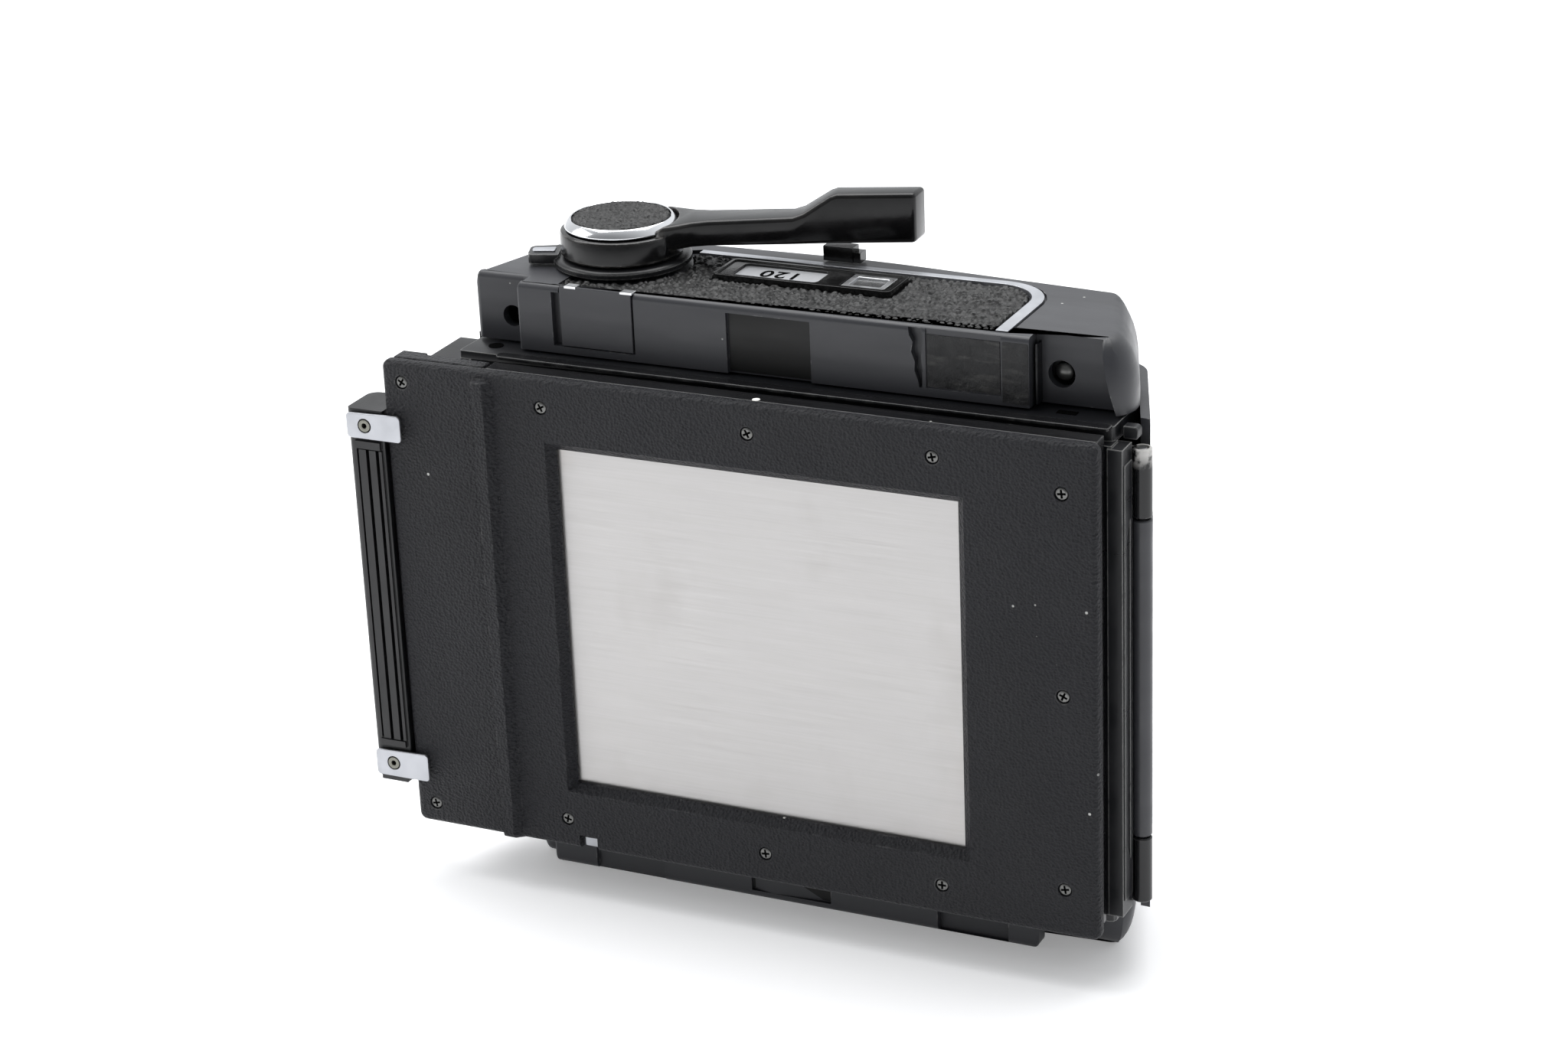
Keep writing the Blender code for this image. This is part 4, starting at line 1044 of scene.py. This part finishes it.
ring = [
    (6.0, 105.4), (9.72, 105.4), (9.8, 105.55), (9.78, 105.75), (8.92, 106.82), (8.75, 106.92),
    (8.58, 106.85), (8.52, 106.2), (6.0, 106.2),
]
place("polished_ring", turned(ring, HUB, 96), CHROME, "lever", ("hub_ring",))
skirt = [
    (5.2, 99.0), (11.7, 99.0), (11.85, 99.15), (11.85, 99.9), (11.6, 100.25), (11.2, 100.4),
    (5.2, 100.4),
]
tab = prism([(-16.2, -2.5, 1.2), (-10.8, -2.9, 0), (-10.8, 2.9, 0), (-16.2, 2.5, 1.2)], (99.2, 100.9))
strip = prism([(-15.6, -1.0, 0.6), (-11.6, -1.1, 0.2), (-11.6, 1.1, 0.2), (-15.6, 1.0, 0.6)], (100.8, 101.15))
for shape in (tab, strip):
    bmesh.ops.rotate(shape, verts=shape.verts, matrix=Matrix.Rotation(math.radians(20), 3, "Z"))
    bmesh.ops.translate(shape, verts=shape.verts, vec=(*HUB, 0))
collar = combine(turned(skirt, HUB, 80), [tab], "UNION")
place("selector_skirt", collar, COLLAR_PAINT, "selector", ("selector_ring",), edge=0.15)
place("selector_strip", strip, CLIP_ALLOY, "selector", edge=0.12)
print("lever made")

# %% [markdown]
# ## Release slider
# The little catch behind the window is a rounded finger pad with a lower step on its right.

# %% Release slider
knob = block((65.4, 70.8), (37.2, 40.0), (99.05, 101.6))
step = block((70.0, 72.2), (37.4, 39.8), (99.05, 100.8))
catch = combine(knob, [step], "UNION")
place("release_catch", catch, GLOSS_PLASTIC, "release", ("release_slider",), edge=0.5, steps=4)
print("slider made")

# %% [markdown]
# ## Hinge
# The hinge is a tube in three lengths on a pin. The two end lengths belong to the body and the
# long middle one to the door. Its black paint has worn through to bright metal at the top.

# %% Hinge leaf and knuckles
HINGE = Vector((131.5, 11.5))
TUBE_R, BORE_R = 1.65, 1.15


def tube(low, high):
    profile = [
        (BORE_R, low), (TUBE_R - 0.2, low), (TUBE_R, low + 0.2), (TUBE_R, high - 0.2),
        (TUBE_R - 0.2, high), (BORE_R, high),
    ]
    return turned(profile, HINGE, 40)


leaf = block((128.3, 129.9), (10.95, 11.75), (2.3, 82.1))
ends = [tube(2.0, 13.75), tube(70.6, 82.4)]
links = [block((129.2, 130.2), (10.95, 11.75), z) for z in ((2.0, 13.75), (70.6, 82.4))]
leaf = combine(leaf, links + ends, "UNION")
place("hinge_leaf_finished", leaf, HINGE_PAINT, "holder", ("hinge_leaf",), edge=0.08)
print("hinge made")

# %% [markdown]
# ## Hinged back
# The back is a pressed shell that wraps the spool chambers, with a covered panel let into it.
# Two outlines give the outside and the inside, and the middle hinge tube is joined on by a web.

# %% Back door and its covering
DOOR_OUTER = [(7.9, 18.4, 0), (131.9, 14.2, 0), (122.6, 39.3, 6.5), (72, 43.7, 150), (15.8, 42.3, 14.5)]
DOOR_INNER = [(5.05, 5.0, 0), (133.7, 5.0, 0), (121.45, 37.9, 4.8), (72, 42.2, 150), (16.9, 40.85, 13)]
door = combine(
    prism(DOOR_OUTER, (-0.9, 86.2), 14), [prism(DOOR_INNER, (-2, 88), 14)], solver="MANIFOLD",
)
web = block((130.7, 132.0), (12.4, 15.2), (14.25, 70.05))
door = combine(door, [web, tube(14.1, 70.25)], "UNION", solver="MANIFOLD")
place("door_shell", door, HOUSING_PAINT, "door", ("back_door",), edge=0.8, steps=4)


def rear_y(x):
    """The outside of the door's back at a place along it."""
    left = 42.3 + (x - 15.8) * (43.7 - 42.3) / (72 - 15.8)
    right = 43.7 + (x - 72) * (39.3 - 43.7) / (122.6 - 72)
    blend = ease(x, 66, 78)
    return left * (1 - blend) + right * blend - 0.12 * (1 - abs(2 * blend - 1))


covered = [(corner - CORNER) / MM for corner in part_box("door_leatherette")]
middle, half = (covered[0] + covered[1]) / 2, (covered[1] - covered[0]) / 2
panel = bmesh.new()
bmesh.ops.create_grid(panel, x_segments=160, y_segments=200, size=1)
for vert in panel.verts:
    x, z = middle.x + vert.co.x * half.x, middle.z + vert.co.y * half.z
    raised = 0.2 if vert.is_boundary else 0.55 + pebble(x, z, 1.0, 0.22)
    vert.co = (x, rear_y(x) + raised, z)
push(panel, (0, -0.35, 0))
place("door_covering", panel, LEATHER_FINE, "door", ("door_leatherette",))
print("back made")

# %% [markdown]
# ## Side wall of the body
# The narrow wall beside the hinge has a long shallow panel with slanted ends. A thin border
# stands round it; nothing is engraved in it here.

# %% Border of the side panel
border = bmesh.new()
wall = [(6.0, 4.0), (9.4, 4.0), (9.4, 81.0), (6.0, 81.0)]
hole = [(6.9, 13.5), (8.5, 11.0), (8.5, 71.0), (6.9, 68.5)]


def side_prism(points, x):
    """A prism whose outline lies in y and z, from one x to another."""
    shape = bmesh.new()
    shape.faces.new([shape.verts.new((x[0], y, z)) for y, z in points])
    return push(shape, (x[1] - x[0], 0, 0))


border.free()
border = combine(side_prism(wall, (130.1, 130.55)), [side_prism(hole, (129.5, 131.5))])
place("side_panel_border", border, WORN_PAINT, "holder", edge=0.12)
print("side wall made")

# %% [markdown]
# ## Floor, light and camera
# A pale sheet under a large soft light from above and behind, a weaker one from the left, and
# even pale surroundings that are dimmer on the viewer's side: that is a small light tent. The
# camera stands to the right of the plate and above it, with a long lens.

# %% Set the stage
floor = bmesh.new()
bmesh.ops.create_grid(floor, x_segments=1, y_segments=1, size=6.0)
floor_mesh = bpy.data.meshes.new("floor")
floor.to_mesh(floor_mesh)
floor.free()
floor_sheet = bpy.data.objects.new("floor", floor_mesh)
bpy.context.scene.collection.objects.link(floor_sheet)
floor_finish = Finish("pale sheet", (0.93, 0.93, 0.94), 0.6, specular=0.2)
floor_finish.shine(floor_finish.ramp(floor_finish.noise(3, 2), 0.3, 0.7, 0.55, 0.65))
floor_finish.set("Emission Color", (1, 1, 1, 1))
floor_finish.set("Emission Strength", 0.25)
floor_mesh.materials.append(floor_finish.material)

world = bpy.data.worlds.new("light tent")
bpy.context.scene.world = world
world.use_nodes = True
sky = world.node_tree
towards = sky.nodes.new("ShaderNodeTexCoord")
split = sky.nodes.new("ShaderNodeSeparateXYZ")
sky.links.new(towards.outputs["Generated"], split.inputs["Vector"])
depth = sky.nodes.new("ShaderNodeMapRange")
depth.inputs["From Min"].default_value = -0.8
depth.inputs["From Max"].default_value = 0.6
depth.inputs["To Min"].default_value = 0.26
depth.inputs["To Max"].default_value = 0.95
sky.links.new(split.outputs["Y"], depth.inputs["Value"])
sky.links.new(depth.outputs["Result"], sky.nodes["Background"].inputs["Strength"])
sky.nodes["Background"].inputs["Color"].default_value = (0.96, 0.98, 1.0, 1)


def soft_light(name, spot, target, size, power):
    data = bpy.data.lights.new(name, "AREA")
    data.shape = "RECTANGLE"
    data.size, data.size_y = size
    data.energy = power
    made = bpy.data.objects.new(name, data)
    bpy.context.scene.collection.objects.link(made)
    made.location = spot
    made.rotation_euler = (Vector(target) - Vector(spot)).to_track_quat("-Z", "Y").to_euler()
    return made


soft_light("overhead panel", (-0.15, 0.25, 1.05), (0, 0, 0.05), (1.3, 0.9), 14)
soft_light("left panel", (-0.95, -0.35, 0.55), (0, 0, 0.06), (0.7, 0.7), 4)

lens = bpy.data.cameras.new("camera")
lens.sensor_width = 36.0
lens.lens = 80.16
camera = bpy.data.objects.new("camera", lens)
bpy.context.scene.collection.objects.link(camera)
across = Vector((0.90760, 0.41810, -0.03827))
upward = Vector((-0.12348, 0.35293, 0.92747))
backward = Vector((0.40128, -0.83704, 0.37195))
turn = Matrix((across, upward, backward)).transposed().to_4x4()
camera.matrix_world = Matrix.Translation((0.240675, -0.500295, 0.2897)) @ turn
bpy.context.scene.camera = camera
bpy.context.scene.view_settings.view_transform = "Standard"
print("stage, lights and camera set")
